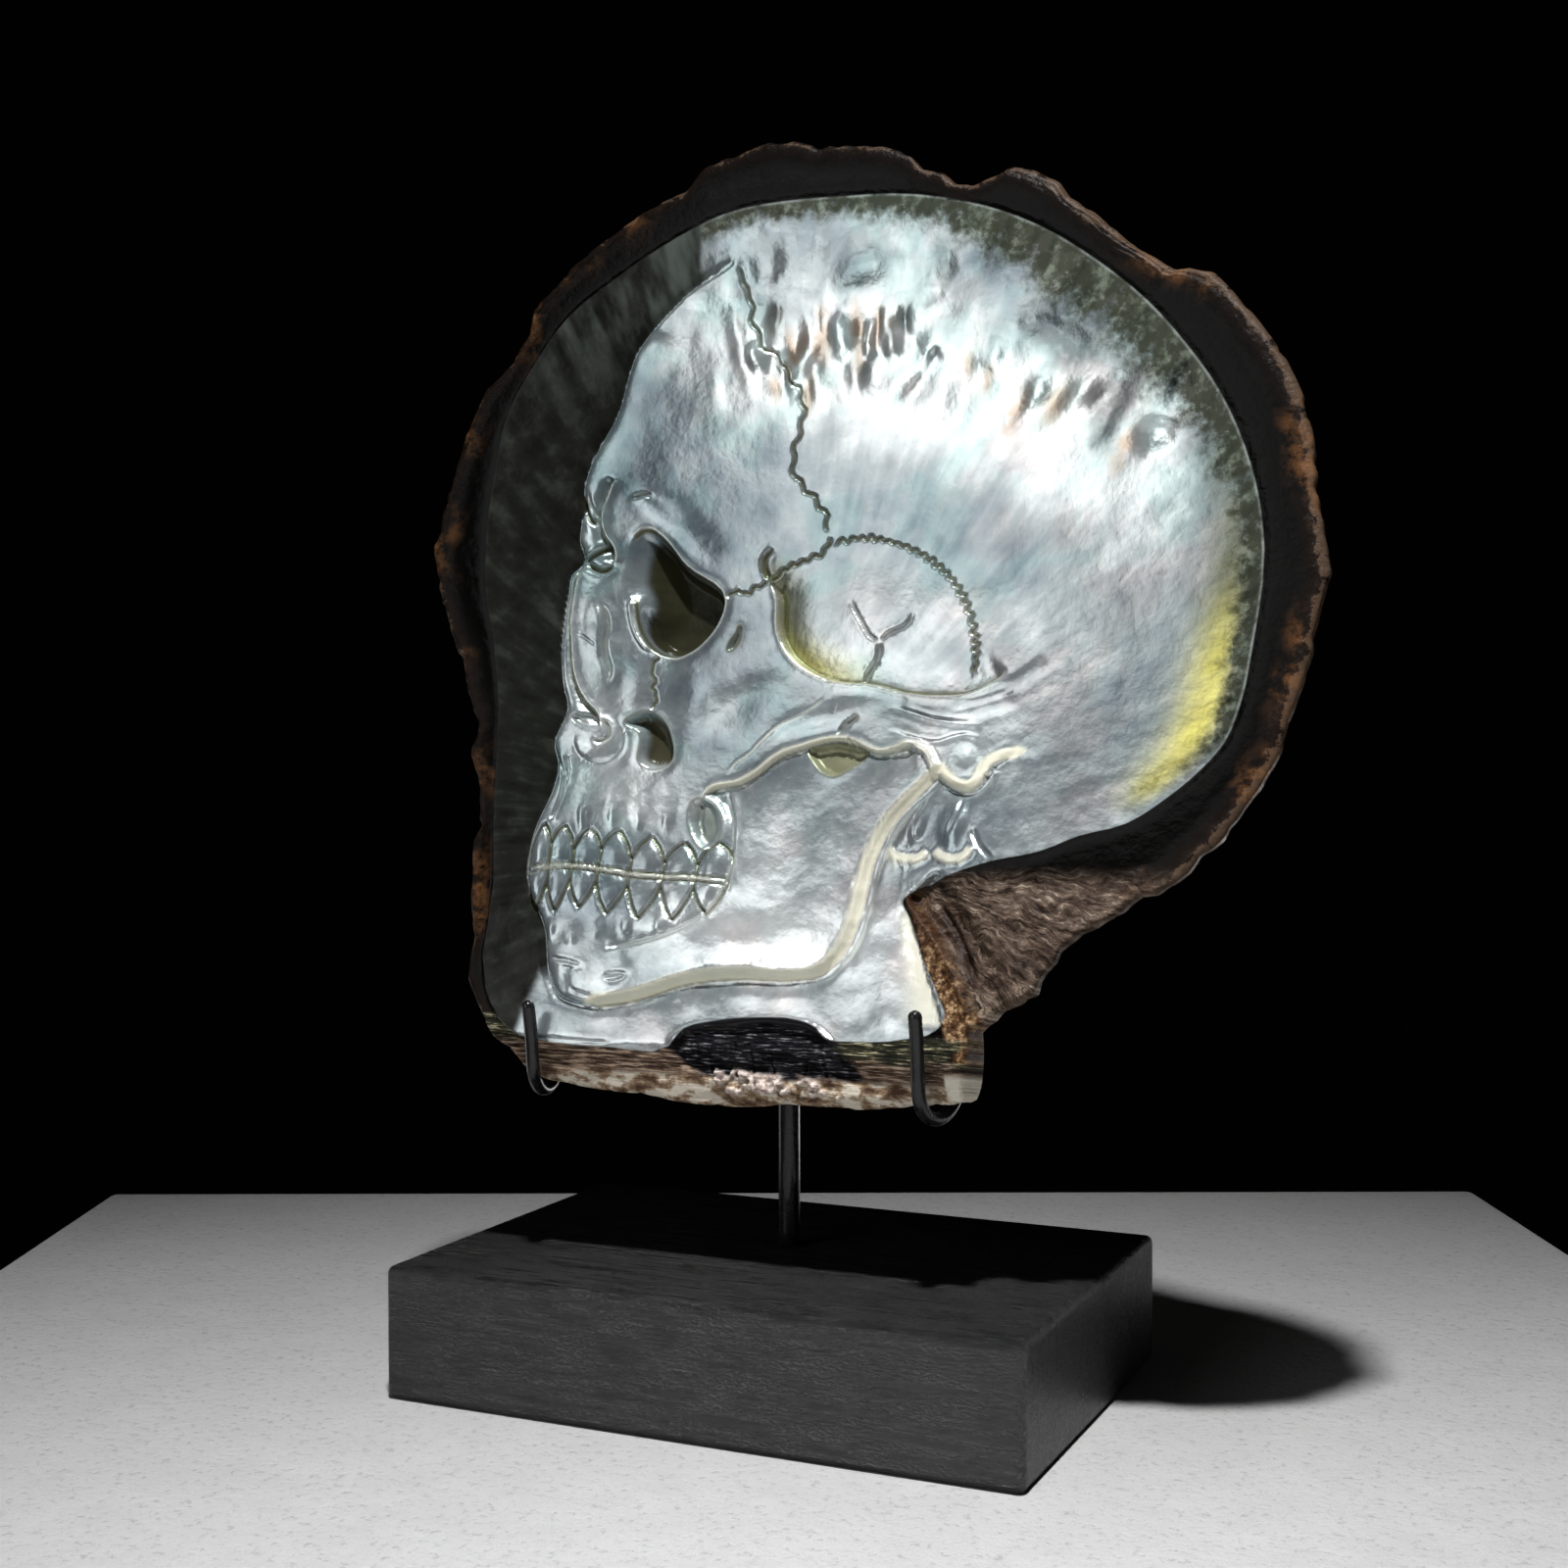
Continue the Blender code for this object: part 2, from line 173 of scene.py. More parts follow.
# Ledges: line, side that is cut low (+1 left of its direction), depth, wall width, ramp width,
# height of the crest along it, cream on the wall and along the crest, the crest's cream partly a painted
# highlight, olive at its foot, partly painted shade
LEDGES = (
    # Cheekbone
    (((-13.3, 55.4), (-12.2, 57.1), (-6.4, 58.7), (-4.0, 60.0), (1.3, 64.1), (5.1, 65.4),
      (12.3, 66.9), (15.8, 66.3), (20.5, 64.5), (28.3, 66.1)), -1, 1.1, 0.5, 10.0, 0.4, 0.8, 0.6),
    # Temple
    (TEMPLE_LINE, 1, 1.7, 0.6, 10.0, 0.4, 0.25, 1.0),
    # Front of the jaw's branch
    (((-8.2, 57.3), (-5.6, 51.0), (-5.1, 46.9), (-4.9, 42.7), (-6.8, 36.4),
      (-8.8, 33.6), (-14.7, 29.7), (-27.1, 25.9)), -1, 1.1, 0.9, 5.0, 0.25, 0.15, 0.35),
    # Side of the nose
    (((-41.3, 100.2), (-42.2, 96.6), (-42.4, 92.7), (-42.4, 88.7), (-41.6, 84.8),
      (-39.8, 77.6), (-38.0, 74.3), (-34.0, 69.7), (-33.8, 67.9)), -1, 1.2, 0.7, 3.2, 0.35, 0.2, 0.9),
    # Front of the brow
    (((-35.6, 116.9), (-37.8, 108.7), (-37.3, 106.5), (-34.9, 102.5),
      (-34.9, 100.4)), -1, 1.3, 0.7, 3.6, 0.35, 0.1, 0.9),
    # Front of the upper jaw
    (((-39.3, 62.8), (-38.7, 59.5), (-39.1, 56.3), (-40.9, 50.0)), -1, 0.5, 0.6, 2.5,
     0.2, 0.0, 0.2),
)

# Grooves: line, depth, half width, taper as a share of the length, olive, partly painted shade in the
# groove
GROOVES = (
    (((-42.5, 114.3), (-41.8, 111.5), (-40.6, 109.2), (-38.9, 107.7)), 1.0, 0.8, 0.2, 1),
    (((-41.4, 114.5), (-40.5, 111.9), (-38.0, 108.5)), 0.6, 0.6, 0.25, 0.6),
    (((-41.5, 100.9), (-35.7, 104.2)), 1.3, 0.9, 0.15, 1),
    (((-41.1, 100.6), (-36.9, 99.0), (-35.1, 100.4)), 1.1, 0.9, 0.2, 1),
    (((-34.2, 69.9), (-32.4, 68.2), (-32.2, 66.4), (-33.6, 65.4), (-35.2, 66.0)), 0.7, 0.6, 0.2, 0.75),
    (((-37.5, 93.1), (-35.9, 91.0), (-35.0, 88.1), (-35.1, 85.1), (-34.6, 82.2), (-33.7, 79.9),
      (-33.5, 76.4)), 0.7, 0.8, 0.2, 0.6),
    (((-40.9, 86.8), (-36.2, 83.9)), 0.2, 0.35, 0.2, 0),
    (((-32.7, 113.0), (-29.3, 113.8), (-27.9, 113.2)), 0.6, 0.7, 0.35, 0.45),
    (((-42.7, 64.1), (-40.2, 58.6), (-40.1, 55.3), (-41.4, 49.9)), 0.5, 0.5, 0.2, 0.2),
    (((12.1, 66.9), (13.3, 68.9), (16.7, 71.4)), 0.5, 0.6, 0.3, 0.75),
    (((-13.3, 55.4), (-13.5, 53.1), (-13.3, 50.5), (-12.0, 48.1)), 0.6, 0.6, 0.2, 0.6),
    (((16.2, 77.3), (16.6, 79.1), (18.0, 80.9), (18.8, 82.8), (18.8, 84.8)), 0.6, 0.6, 0.1, 0.6),
    (((18.8, 84.8), (16.7, 86.2), (15.4, 88.1), (12.2, 93.0)), 0.5, 0.55, 0.15, 0.45),
    (((18.8, 84.8), (20.5, 86.2), (24.6, 88.4), (25.3, 90.4)), 0.5, 0.55, 0.2, 0.45),
    (((-4.2, 97.1), (-5.4, 99.2), (-5.7, 101.1), (-4.7, 102.7), (-3.8, 103.6)), 0.9, 0.8, 0.2, 1),
    (((21.6, 68.5), (32.3, 66.0), (34.9, 66.8), (38.2, 67.1), (40.9, 65.8)), 0.3, 0.6, 0.2, 0),
    (((21.1, 72.7), (26.2, 71.6), (31.2, 70.0), (40.9, 68.8)), 0.3, 0.8, 0.2, 0),
    (((38.2, 56.0), (37.3, 52.5), (36.0, 49.0)), 0.3, 0.6, 0.2, 0),
    (((31.1, 56.1), (29.2, 51.5), (29.4, 48.4), (31.3, 48.1)), 0.35, 0.7, 0.2, 0),
    (((40.3, 50.5), (41.5, 48.2), (43.1, 46.3), (45.2, 44.7)), 0.5, 0.8, 0.15, 0.1),
    (((-38.3, 24.4), (-34.8, 24.0), (-30.0, 23.0)), 0.4, 0.5, 0.3, 0.1),
    (((-35.5, 22.9), (-32.6, 22.5), (-30.0, 22.8)), 0.35, 0.45, 0.3, 0.1),
    (((-27.1, 21.0), (-25.0, 22.0), (-21.3, 22.0)), 0.4, 0.5, 0.3, 0.1),
    (((-27.1, 21.0), (-24.6, 20.5), (-21.3, 22.0)), 0.3, 0.45, 0.3, 0.1),
    (((-33.2, 19.0), (-30.9, 18.1), (-28.4, 17.6)), 0.3, 0.5, 0.3, 0),
    (((-27.2, 26.6), (-23.8, 27.3), (-20.9, 27.8)), 0.3, 0.5, 0.3, 0),
)

# Raised cords: line, half width, height, cream
CORDS = (
    (((23.0, 65.0), (27.0, 65.6), (30.2, 64.4), (31.9, 61.6), (33.4, 60.0), (36.2, 58.3),
      (39.2, 58.0), (41.2, 59.6), (42.4, 61.7), (44.7, 63.4), (47.6, 63.6)), 0.8, 0.65, 0.5),
    (((24.1, 47.2), (25.5, 45.6), (28.4, 44.9), (31.1, 45.2), (32.4, 46.6)), 0.8, 0.5, 0.8),
    (((33.3, 46.7), (35.1, 45.3), (37.5, 44.8), (39.8, 45.5), (40.8, 47.4)), 0.8, 0.5, 0.8),
    (((-31.6, 93.6), (-30.6, 89.2), (-28.8, 85.6), (-26.2, 83.0)), 0.4, 0.3, 0.15),
    (((-9.0, 59.4), (-7.9, 61.9), (-5.1, 64.1), (-2.5, 67.0), (0.6, 69.6), (4.3, 71.2), (7.6, 73.4),
      (9.8, 75.5)), 0.35, 0.15, 0.3),
    (((46.5, 73.9), (38.0, 72.0), (31.0, 72.3), (24.0, 73.6)), 1.4, 0.25, 0.0),
    (((52.0, 80.5), (47.0, 77.0), (41.0, 74.9), (34.0, 73.2)), 1.2, 0.25, 0.0),
)

# Sutures: line, wave step, wave height, depth, half width
SUTURES = (
    (((-12.2, 156.2), (-10.4, 153.8), (-9.9, 151.3), (-8.8, 149.5), (-8.9, 146.0), (-7.2, 143.2),
      (-6.5, 140.9), (-3.2, 138.9), (-1.9, 136.0), (0.4, 133.0), (1.4, 129.9), (1.2, 125.4),
      (0.1, 123.3), (0.1, 121.0), (-0.6, 118.3), (1.2, 115.4), (6.0, 110.0), (7.6, 105.0)),
     4.4, 0.42, 0.55, 0.45),
    (((7.6, 105.0), (6.9, 102.8), (3.0, 101.0), (-1.6, 99.3), (-4.0, 96.9)), 2.6, 0.35, 0.6, 0.5),
    (((-12.7, 94.2), (-11.2, 95.3), (-8.6, 94.9), (-6.8, 96.2), (-4.4, 96.7)), 2.0, 0.25, 0.5, 0.45),
    (((7.8, 103.7), (13.6, 104.5), (16.6, 104.3), (19.6, 103.6), (28.7, 99.2), (33.5, 94.4),
      (35.2, 91.6), (37.2, 86.1), (37.8, 81.0), (37.4, 77.6)), 1.9, 0.42, 0.5, 0.42),
    (((-24.7, 82.4), (-25.7, 79.3), (-24.9, 78.0), (-25.2, 76.3), (-24.5, 74.8), (-24.9, 71.7)),
     2.2, 0.2, 0.5, 0.5),
)

# Mounds and dimples: centre, half sizes, height, turn in degrees
MOUNDS = (
    ((-34.1, 65.6), (6.2, 5.6), 1.0, 0.0),
    ((-38.9, 109.5), (3.2, 5.4), 0.5, 10.0),
    ((-22.5, 108.5), (13.0, 4.6), 0.75, -38.0),
    ((-25.5, 111.2), (6.0, 1.6), -0.35, -35.0),
    ((-11.0, 71.5), (8.5, 7.0), 0.8, 20.0),
    ((-17.8, 74.0), (4.6, 7.5), -0.6, 15.0),
    ((-11.6, 66.5), (3.2, 2.2), -0.35, 10.0),
    ((-5.5, 76.0), (6.5, 5.0), 0.5, 30.0),
    ((-27.8, 77.0), (3.4, 8.0), 0.5, -5.0),
    ((-37.0, 88.5), (3.4, 11.0), 0.7, 5.0),
    ((13.0, 40.0), (11.0, 17.0), 0.6, -10.0),
    ((-2.0, 28.5), (22.0, 5.5), 0.8, 8.0),
    ((9.0, 71.0), (13.0, 3.2), 0.7, 12.0),
    ((37.9, 63.3), (2.6, 2.6), -0.6, 0.0),
    ((37.9, 63.3), (5.2, 5.0), 0.4, 0.0),
    ((28.5, 50.5), (3.4, 7.0), 1.1, -33.0),
    ((36.9, 51.0), (3.2, 6.4), 1.1, -8.0),
    ((-40.5, 61.0), (2.0, 4.5), 0.4, 10.0),
    ((21.0, 90.0), (15.0, 12.0), 0.5, -10.0),
    ((-32.0, 45.0), (16.0, 16.0), 0.5, 0.0),
)

# Teeth: borders on the bite line, valleys and tips of the upper row, then of the lower row
BITE = (
    (-44.7, 40.4), (-40.6, 41.3), (-36.2, 41.6), (-31.1, 41.3), (-25.1, 40.6), (-18.7, 40.3),
    (-12.1, 40.3), (-5.3, 39.7),
)
UPPER_VALLEYS = (43.7, 45.5, 44.7, 45.0, 43.4, 42.9, 42.7, 43.6)
UPPER_TIPS = (49.5, 49.2, 48.9, 48.7, 47.8, 46.9, 47.2)
LOWER_TIPS = (33.3, 33.1, 33.9, 32.9, 32.2, 32.3, 33.4)
LOWER_VALLEYS = (38.6, 38.2, 38.8, 38.7, 38.4, 38.3, 38.2, 39.0)
UPPER_ROOTS = ((-35.3, 51.8), (-29.8, 52.8), (-24.9, 52.6), (-19.6, 52.4))
LOWER_ROOTS = ((-38.6, 29.6), (-33.8, 29.0), (-29.3, 30.0), (-24.0, 31.0), (-17.6, 31.2))

TOOTH_CUT = (0.8, 0.45)
TOOTH_BORDER_CUT = (0.7, 0.45)
TOOTH_BOW = 0.7
BITE_GAP = 0.55
NOSE_BALL = (-34.1, 65.6)
NOSE_BALL_HALF = (4.6, 4.4)

# Arc of folds round the fan's centre: starts, is full, is full still and is gone, in mm, then degrees
FOLD_REACH = (77.0, 86.0, 94.0, 102.0)
FOLD_TURN = (36.0, 46.0, 96.0, 106.0)
# Folds where the growing edge puckered, as centre, half sizes, height and turn: hollows, painted dark
# as shade, narrow tan creases, and swellings between them
HOLLOWS_WITH_PAINTED_SHADE = (
    ((30.0, 151.5), (3.0, 6.0), -0.5, 0.0),
    ((53.0, 136.5), (10.0, 4.6), -0.4, -42.0),
    ((62.5, 126.0), (4.6, 9.0), -0.6, -38.0),
    ((60.0, 119.5), (1.8, 4.0), -0.5, -38.0),
    ((26.8, 145.9), (1.0, 1.2), -0.7, 0.0),
    ((-4.5, 146.5), (1.8, 4.0), -0.5, 14.0),
    ((22.6, 144.5), (1.4, 4.5), -0.6, -4.0),
    ((73.2, 120.2), (2.6, 1.2), -0.6, 0.0),
    ((46.0, 140.0), (4.0, 2.4), -0.5, -30.0),
    ((5.8, 158.5), (1.2, 3.5), -0.4, 4.0),
)
CREASES = (
    ((-0.4, 141.5), (1.8, 4.4), -0.30, 8.0),
    ((4.8, 142.0), (1.9, 6.2), -0.36, 2.0),
    ((12.3, 141.0), (2.1, 8.5), -0.36, -3.0),
    ((17.0, 142.5), (1.4, 4.5), -0.24, -6.0),
    ((3.2, 132.0), (1.8, 4.7), -0.24, 2.0),
    ((-4.8, 132.5), (1.6, 3.4), -0.24, 10.0),
    ((33.6, 134.8), (1.9, 4.4), -0.30, -16.0),
    ((37.8, 131.0), (1.6, 3.4), -0.24, -20.0),
    ((44.0, 125.5), (2.2, 6.2), -0.36, -24.0),
    ((51.8, 126.5), (2.9, 5.5), -0.36, -28.0),
    ((64.5, 116.5), (2.4, 5.2), -0.30, -36.0),
)
SWELLINGS = (
    ((-7.7, 138.8), (2.2, 3.6), 0.7, 14.0),
    ((-2.6, 137.0), (2.0, 4.0), 0.6, 8.0),
    ((8.2, 141.5), (2.4, 6.0), 0.9, 0.0),
    ((15.2, 140.5), (1.9, 5.0), 0.7, -5.0),
    ((19.6, 140.0), (2.0, 5.0), 0.8, -8.0),
    ((28.0, 138.5), (3.2, 5.0), 0.8, -12.0),
    ((39.5, 134.0), (3.0, 5.0), 0.7, -20.0),
    ((47.8, 129.0), (2.6, 5.0), 0.8, -25.0),
    ((56.5, 127.0), (2.6, 5.0), 0.8, -30.0),
    ((70.6, 117.6), (4.0, 4.6), 1.1, -40.0),
    ((75.0, 125.4), (3.0, 5.0), 0.6, -40.0),
    ((12.0, 153.0), (8.0, 5.0), 0.7, 0.0),
    ((-6.0, 157.0), (5.0, 6.0), 0.7, 10.0),
)
# Lighter and darker patches in the pearl, partly its own clouds and partly painted highlight, reflection
# and shade: centre, half sizes, amount
TONE_AND_PAINTED_LIGHT_SPOTS = (
    ((5.0, 152.0), (16.0, 9.0), -0.05),
    ((-5.0, 160.0), (9.0, 6.0), 0.15),
    ((70.0, 119.0), (5.0, 6.0), 0.35),
    ((40.0, 152.0), (9.0, 7.0), -0.3),
    ((58.0, 140.0), (11.0, 7.0), -0.35),
    ((62.0, 121.0), (4.0, 9.0), -0.25),
    ((-29.0, 124.0), (8.0, 14.0), -0.16),
    ((42.0, 100.0), (17.0, 14.0), -0.2),
    ((8.0, 44.0), (16.0, 12.0), 0.24),
    ((27.0, 33.0), (9.0, 12.0), 0.22),
    ((22.0, 88.0), (13.0, 11.0), 0.32),
    ((-15.0, 109.0), (13.0, 10.0), -0.26),
    ((-14.0, 72.0), (8.0, 8.0), -0.12),
    ((-25.0, 56.0), (14.0, 8.0), 0.3),
    ((25.0, 128.0), (16.0, 8.0), 0.2),
    ((62.0, 84.0), (16.0, 20.0), 0.1),
    ((-5.0, 30.0), (13.0, 7.0), 0.5),
    ((12.0, 28.0), (9.0, 6.0), 0.35),
    ((10.0, 15.0), (22.0, 6.0), 0.3),
    ((30.0, 30.0), (6.0, 10.0), 0.18),
    ((30.0, 66.0), (26.0, 9.0), 0.16),
    ((-30.0, 66.0), (10.0, 8.0), 0.12),
    ((-12.0, 73.0), (4.0, 4.0), 0.25),
    ((-18.0, 76.0), (5.0, 7.0), -0.14),
    ((-3.0, 60.0), (8.0, 3.0), -0.12),
    ((82.0, 100.0), (6.0, 20.0), -0.2),
)
YELLOW_BAND = ((83.0, 118.0), (85.0, 103.1), (82.8, 76.8), (79.4, 63.8), (74.1, 55.7))

# Hinge
LIGAMENT = (
    (-12.0, 9.5), (-9.1, 12.5), (-1.7, 14.1), (9.6, 15.1), (16.4, 13.9), (20.0, 11.4), (25.5, 6.4),
    (17.0, 5.0), (0.3, 3.9), (-7.6, 5.1),
)
LIGAMENT_BAND = ((-12.8, 9.4), (-9.6, 12.2), (-1.9, 13.7), (9.4, 14.7), (15.8, 13.6), (19.6, 11.0))
LIGAMENT_CRACKS = (-7.0, -4.0, 0.0, 3.6, 8.0, 14.0, 17.6)
CRUST = ((-4.0, 5.2), (-2.6, 2.4), (4.0, 1.2), (13.0, 1.4), (21.0, 3.0), (17.0, 5.4), (6.0, 6.2))
NOTCH_LEDGE = ((28.7, 37.8), (34.9, 31.3), (40.9, 23.8), (45.6, 14.0))
NOTCH_SLIT = ((33.5, 38.5), (37.6, 34.0), (41.6, 28.4), (44.4, 22.0))

HINGE_LAYERS_TOP = (10.2, 8.6)

# Stand
ROD_RADIUS = 2.0
ROD_Y = 3.8
ROD_STRAIGHT_TOP = 92.0
ROD_REST = (56.0, 76.0)
WIRE_RADIUS = 1.2
HOOK_X = {"hook_left": -38.4, "hook_right": 36.5}
HOOK_SWING = {"hook_left": -3.0, "hook_right": 2.0}
HOOK_DROP = 6.1
HOOK_TURN = 160.0
HOOK_FRONT_Y = -24.4
HOOK_REACH = 14.6
HOOK_CENTRE_Z = 60.0
HOOK_TIP_RISE = {"hook_left": 11.3, "hook_right": 13.3}
HOOK_TIP_LEAN = 1.8
ARM_Z = 63.0
GAP = 0.35
BLOCK_CELLS = (40, 28, 10)

# Floor in metres, across and ahead of the camera, and the middle of its back edge in mm
FLOOR_LOW = (-0.180, -0.520, -0.030)
FLOOR_HIGH = (0.180, 0.0, 0.0)
FLOOR_BACK = np.array([-65.0, 148.5, 0.0])
FLOOR_EDGE = 3.0
FLOOR_CELLS = (60, 80, 6)

# Lights: place, target and size, a power or the name of one, its share of that, and spread
MIDDLE = (0.0, 0.0, 140.0)
LIGHTS = {
    "key": ((99.0, -245.0, 790.0), (105.0, -185.0, 0.0), (0.04, 0.04), "key_power", 1.0, 60.0),
    "front glow": ((-305.0, -650.0, 150.0), MIDDLE, (0.36, 0.24), "fill_power", 1.0, 180.0),
    "front fill": ((-300.0, -600.0, 400.0), (0.0, 0.0, 160.0), (0.5, 0.3), "fill_power", 0.19, 70.0),
    "side fill": ((560.0, -300.0, 200.0), MIDDLE, (0.08, 0.30), "side_scale", 0.014, 60.0),
    "left side": ((-560.0, 60.0, -40.0), MIDDLE, (0.3, 0.2), "side_scale", 0.03, 60.0),
    "back": ((140.0, 520.0, -120.0), (0.0, 20.0, 150.0), (0.4, 0.2), "side_scale", 0.17, 60.0),
}

# Camera, solved from the block's edges
CAMERA_PLACE = (159.5, -347.2, 117.2)
CAMERA_YAW = math.radians(24.56)
CAMERA_PITCH = math.radians(1.04)
CAMERA_ROLL = math.radians(-0.118)
CAMERA_LENS = 47.55


def ease(low, high, x):
    """Smooth step from 0 at low to 1 at high: t t (3 - 2 t)."""
    t = np.clip((x - low) / (high - low), 0.0, 1.0)
    return t * t * (3.0 - 2.0 * t)


def bell(x, width):
    """Bell curve of height 1: e to the minus (x / width) squared."""
    return np.exp(-((x / width) ** 2))


def noise(a, b, seed):
    """Random values from -1 to 1 on whole numbers, eased between both ways. A seed picks the values."""
    table = np.random.default_rng(seed).uniform(-1.0, 1.0, (64, 64))
    i, j = np.floor(a).astype(int), np.floor(b).astype(int)
    s, t = ease(0.0, 1.0, a - i), ease(0.0, 1.0, b - j)
    low = table[i % 64, j % 64] * (1.0 - s) + table[(i + 1) % 64, j % 64] * s
    high = table[i % 64, (j + 1) % 64] * (1.0 - s) + table[(i + 1) % 64, (j + 1) % 64] * s
    return low * (1.0 - t) + high * t


def curve(line, closed=False, steps=5):
    """Smooth line through its points.

    Each stretch is the cubic that leaves and arrives along the heading at its ends, where a heading is
    the mean of the two runs beside a point, the shorter run counting for more.
    """
    knots = np.array(line, float)
    before, after = 2 * knots[:1] - knots[1:2], 2 * knots[-1:] - knots[-2:-1]
    if closed:
        before, after = knots[-1:], knots[:2]
    knots = np.vstack([before, knots, after])
    runs = np.diff(knots, axis=0)
    lengths = np.linalg.norm(runs, axis=1, keepdims=True)
    heading = runs[:-1] / lengths[:-1] * lengths[1:] + runs[1:] / lengths[1:] * lengths[:-1]
    heading /= np.linalg.norm(heading, axis=1, keepdims=True)
    leave = (heading[:-1] * lengths[1:-1])[:, None]
    arrive = (heading[1:] * lengths[1:-1])[:, None]
    t = np.linspace(0.0, 1.0, steps, endpoint=False)[None, :, None]
    spots = knots[1:-2, None] * (2 * t**3 - 3 * t**2 + 1) + knots[2:-1, None] * (3 * t**2 - 2 * t**3)
    spots = spots + leave * (t**3 - 2 * t**2 + t) + arrive * (t**3 - t**2)
    spots = spots.reshape(-1, knots.shape[1])
    return np.vstack([spots, spots[:1] if closed else knots[-2:-1]])


def wavy(line, step, height, seed):
    """A line swung left and right of its course: a sine of the length along it, uneven in size."""
    course = curve(line)
    length = np.concatenate([[0.0], np.cumsum(np.linalg.norm(np.diff(course, axis=0), axis=1))])
    at = np.arange(0.0, length[-1], step / 4.0)
    spots = np.stack([np.interp(at, length, course[:, k]) for k in range(2)], -1)
    heading = np.gradient(spots, axis=0)
    heading /= np.linalg.norm(heading, axis=1, keepdims=True)
    across = np.stack([-heading[:, 1], heading[:, 0]], -1)
    size = height * (1.0 + 0.6 * noise(at / step * 0.7, at * 0.0, seed))
    swing = size * np.sin(2.0 * math.pi * (at / step + 0.3 * noise(at / step * 0.4, at * 0.0, seed + 1)))
    return spots + across * swing[:, None]


def nearest(points, line):
    """Distance to a line, side of it (+1 to the left of its direction) and share of its length."""
    best = np.full(len(points), 1e9)
    side = np.ones(len(points))
    share = np.zeros(len(points))
    runs = np.diff(line, axis=0)
    lengths = np.linalg.norm(runs, axis=1)
    start = np.concatenate([[0.0], np.cumsum(lengths)]) / lengths.sum()
    for a, run, length, low, high in zip(line[:-1], runs, lengths, start[:-1], start[1:]):
        rel = points - a
        t = np.clip(rel @ run / length**2, 0.0, 1.0)
        away = np.hypot(rel[:, 0] - t * run[0], rel[:, 1] - t * run[1])
        nearer = away < best
        best = np.where(nearer, away, best)
        side = np.where(nearer, np.where(run[0] * rel[:, 1] >= run[1] * rel[:, 0], 1.0, -1.0), side)
        share = np.where(nearer, low + t * (high - low), share)
    return best, side, share


def inside(points, outline):
    """True where a ray to the right crosses the closed outline an odd number of times."""
    found = np.zeros(len(points), bool)
    for (ax, ay), (bx, by) in zip(outline, np.roll(outline, -1, axis=0)):
        if ay == by:
            continue
        spans = (points[:, 1] >= min(ay, by)) & (points[:, 1] < max(ay, by))
        found ^= spans & (ax + (points[:, 1] - ay) * (bx - ax) / (by - ay) > points[:, 0])
    return found


def window(x, start, full, last, end):
    """Eased from 0 at start to 1 at full, then from 1 at last back to 0 at end."""
    return ease(start, full, x) * ease(end, last, x)


def polar(points, centre):
    """Distance from a centre, and the angle there in degrees, anticlockwise from the right."""
    rel = points - centre
    return np.hypot(*rel.T), np.degrees(np.arctan2(rel[:, 1], rel[:, 0]))


def rim_radius(angle):
    """Rim's distance from the shell's centre at each angle, read between its points."""
    radii, angles = polar(np.array(RIM), SHELL_CENTRE)
    return np.interp(angle, angles, radii, period=360.0)


def spread(points):
    """Distance from the centre as a share of the rim's mean distance within 14 degrees of that way."""
    radius, angle = polar(points, SHELL_CENTRE)
    turns = np.linspace(-14.0, 14.0, 9)
    mean = sum(rim_radius(angle + turn) for turn in turns) / len(turns)
    return np.clip(radius / mean, 0.0, 1.0)


def rim_gap(points):
    """Distance in to the rim along the line from the centre."""
    radius, angle = polar(points, SHELL_CENTRE)
    return rim_radius(angle) - radius


def place(points, w):
    """Shell coordinates to the frame of the whole object, in metres."""
    u, v = points.T
    y = HINGE_Y + v * math.sin(LEAN) - w * math.cos(LEAN)
    z = HINGE_Z + v * math.cos(LEAN) + w * math.sin(LEAN)
    return np.stack([u, y, z], -1) * MM


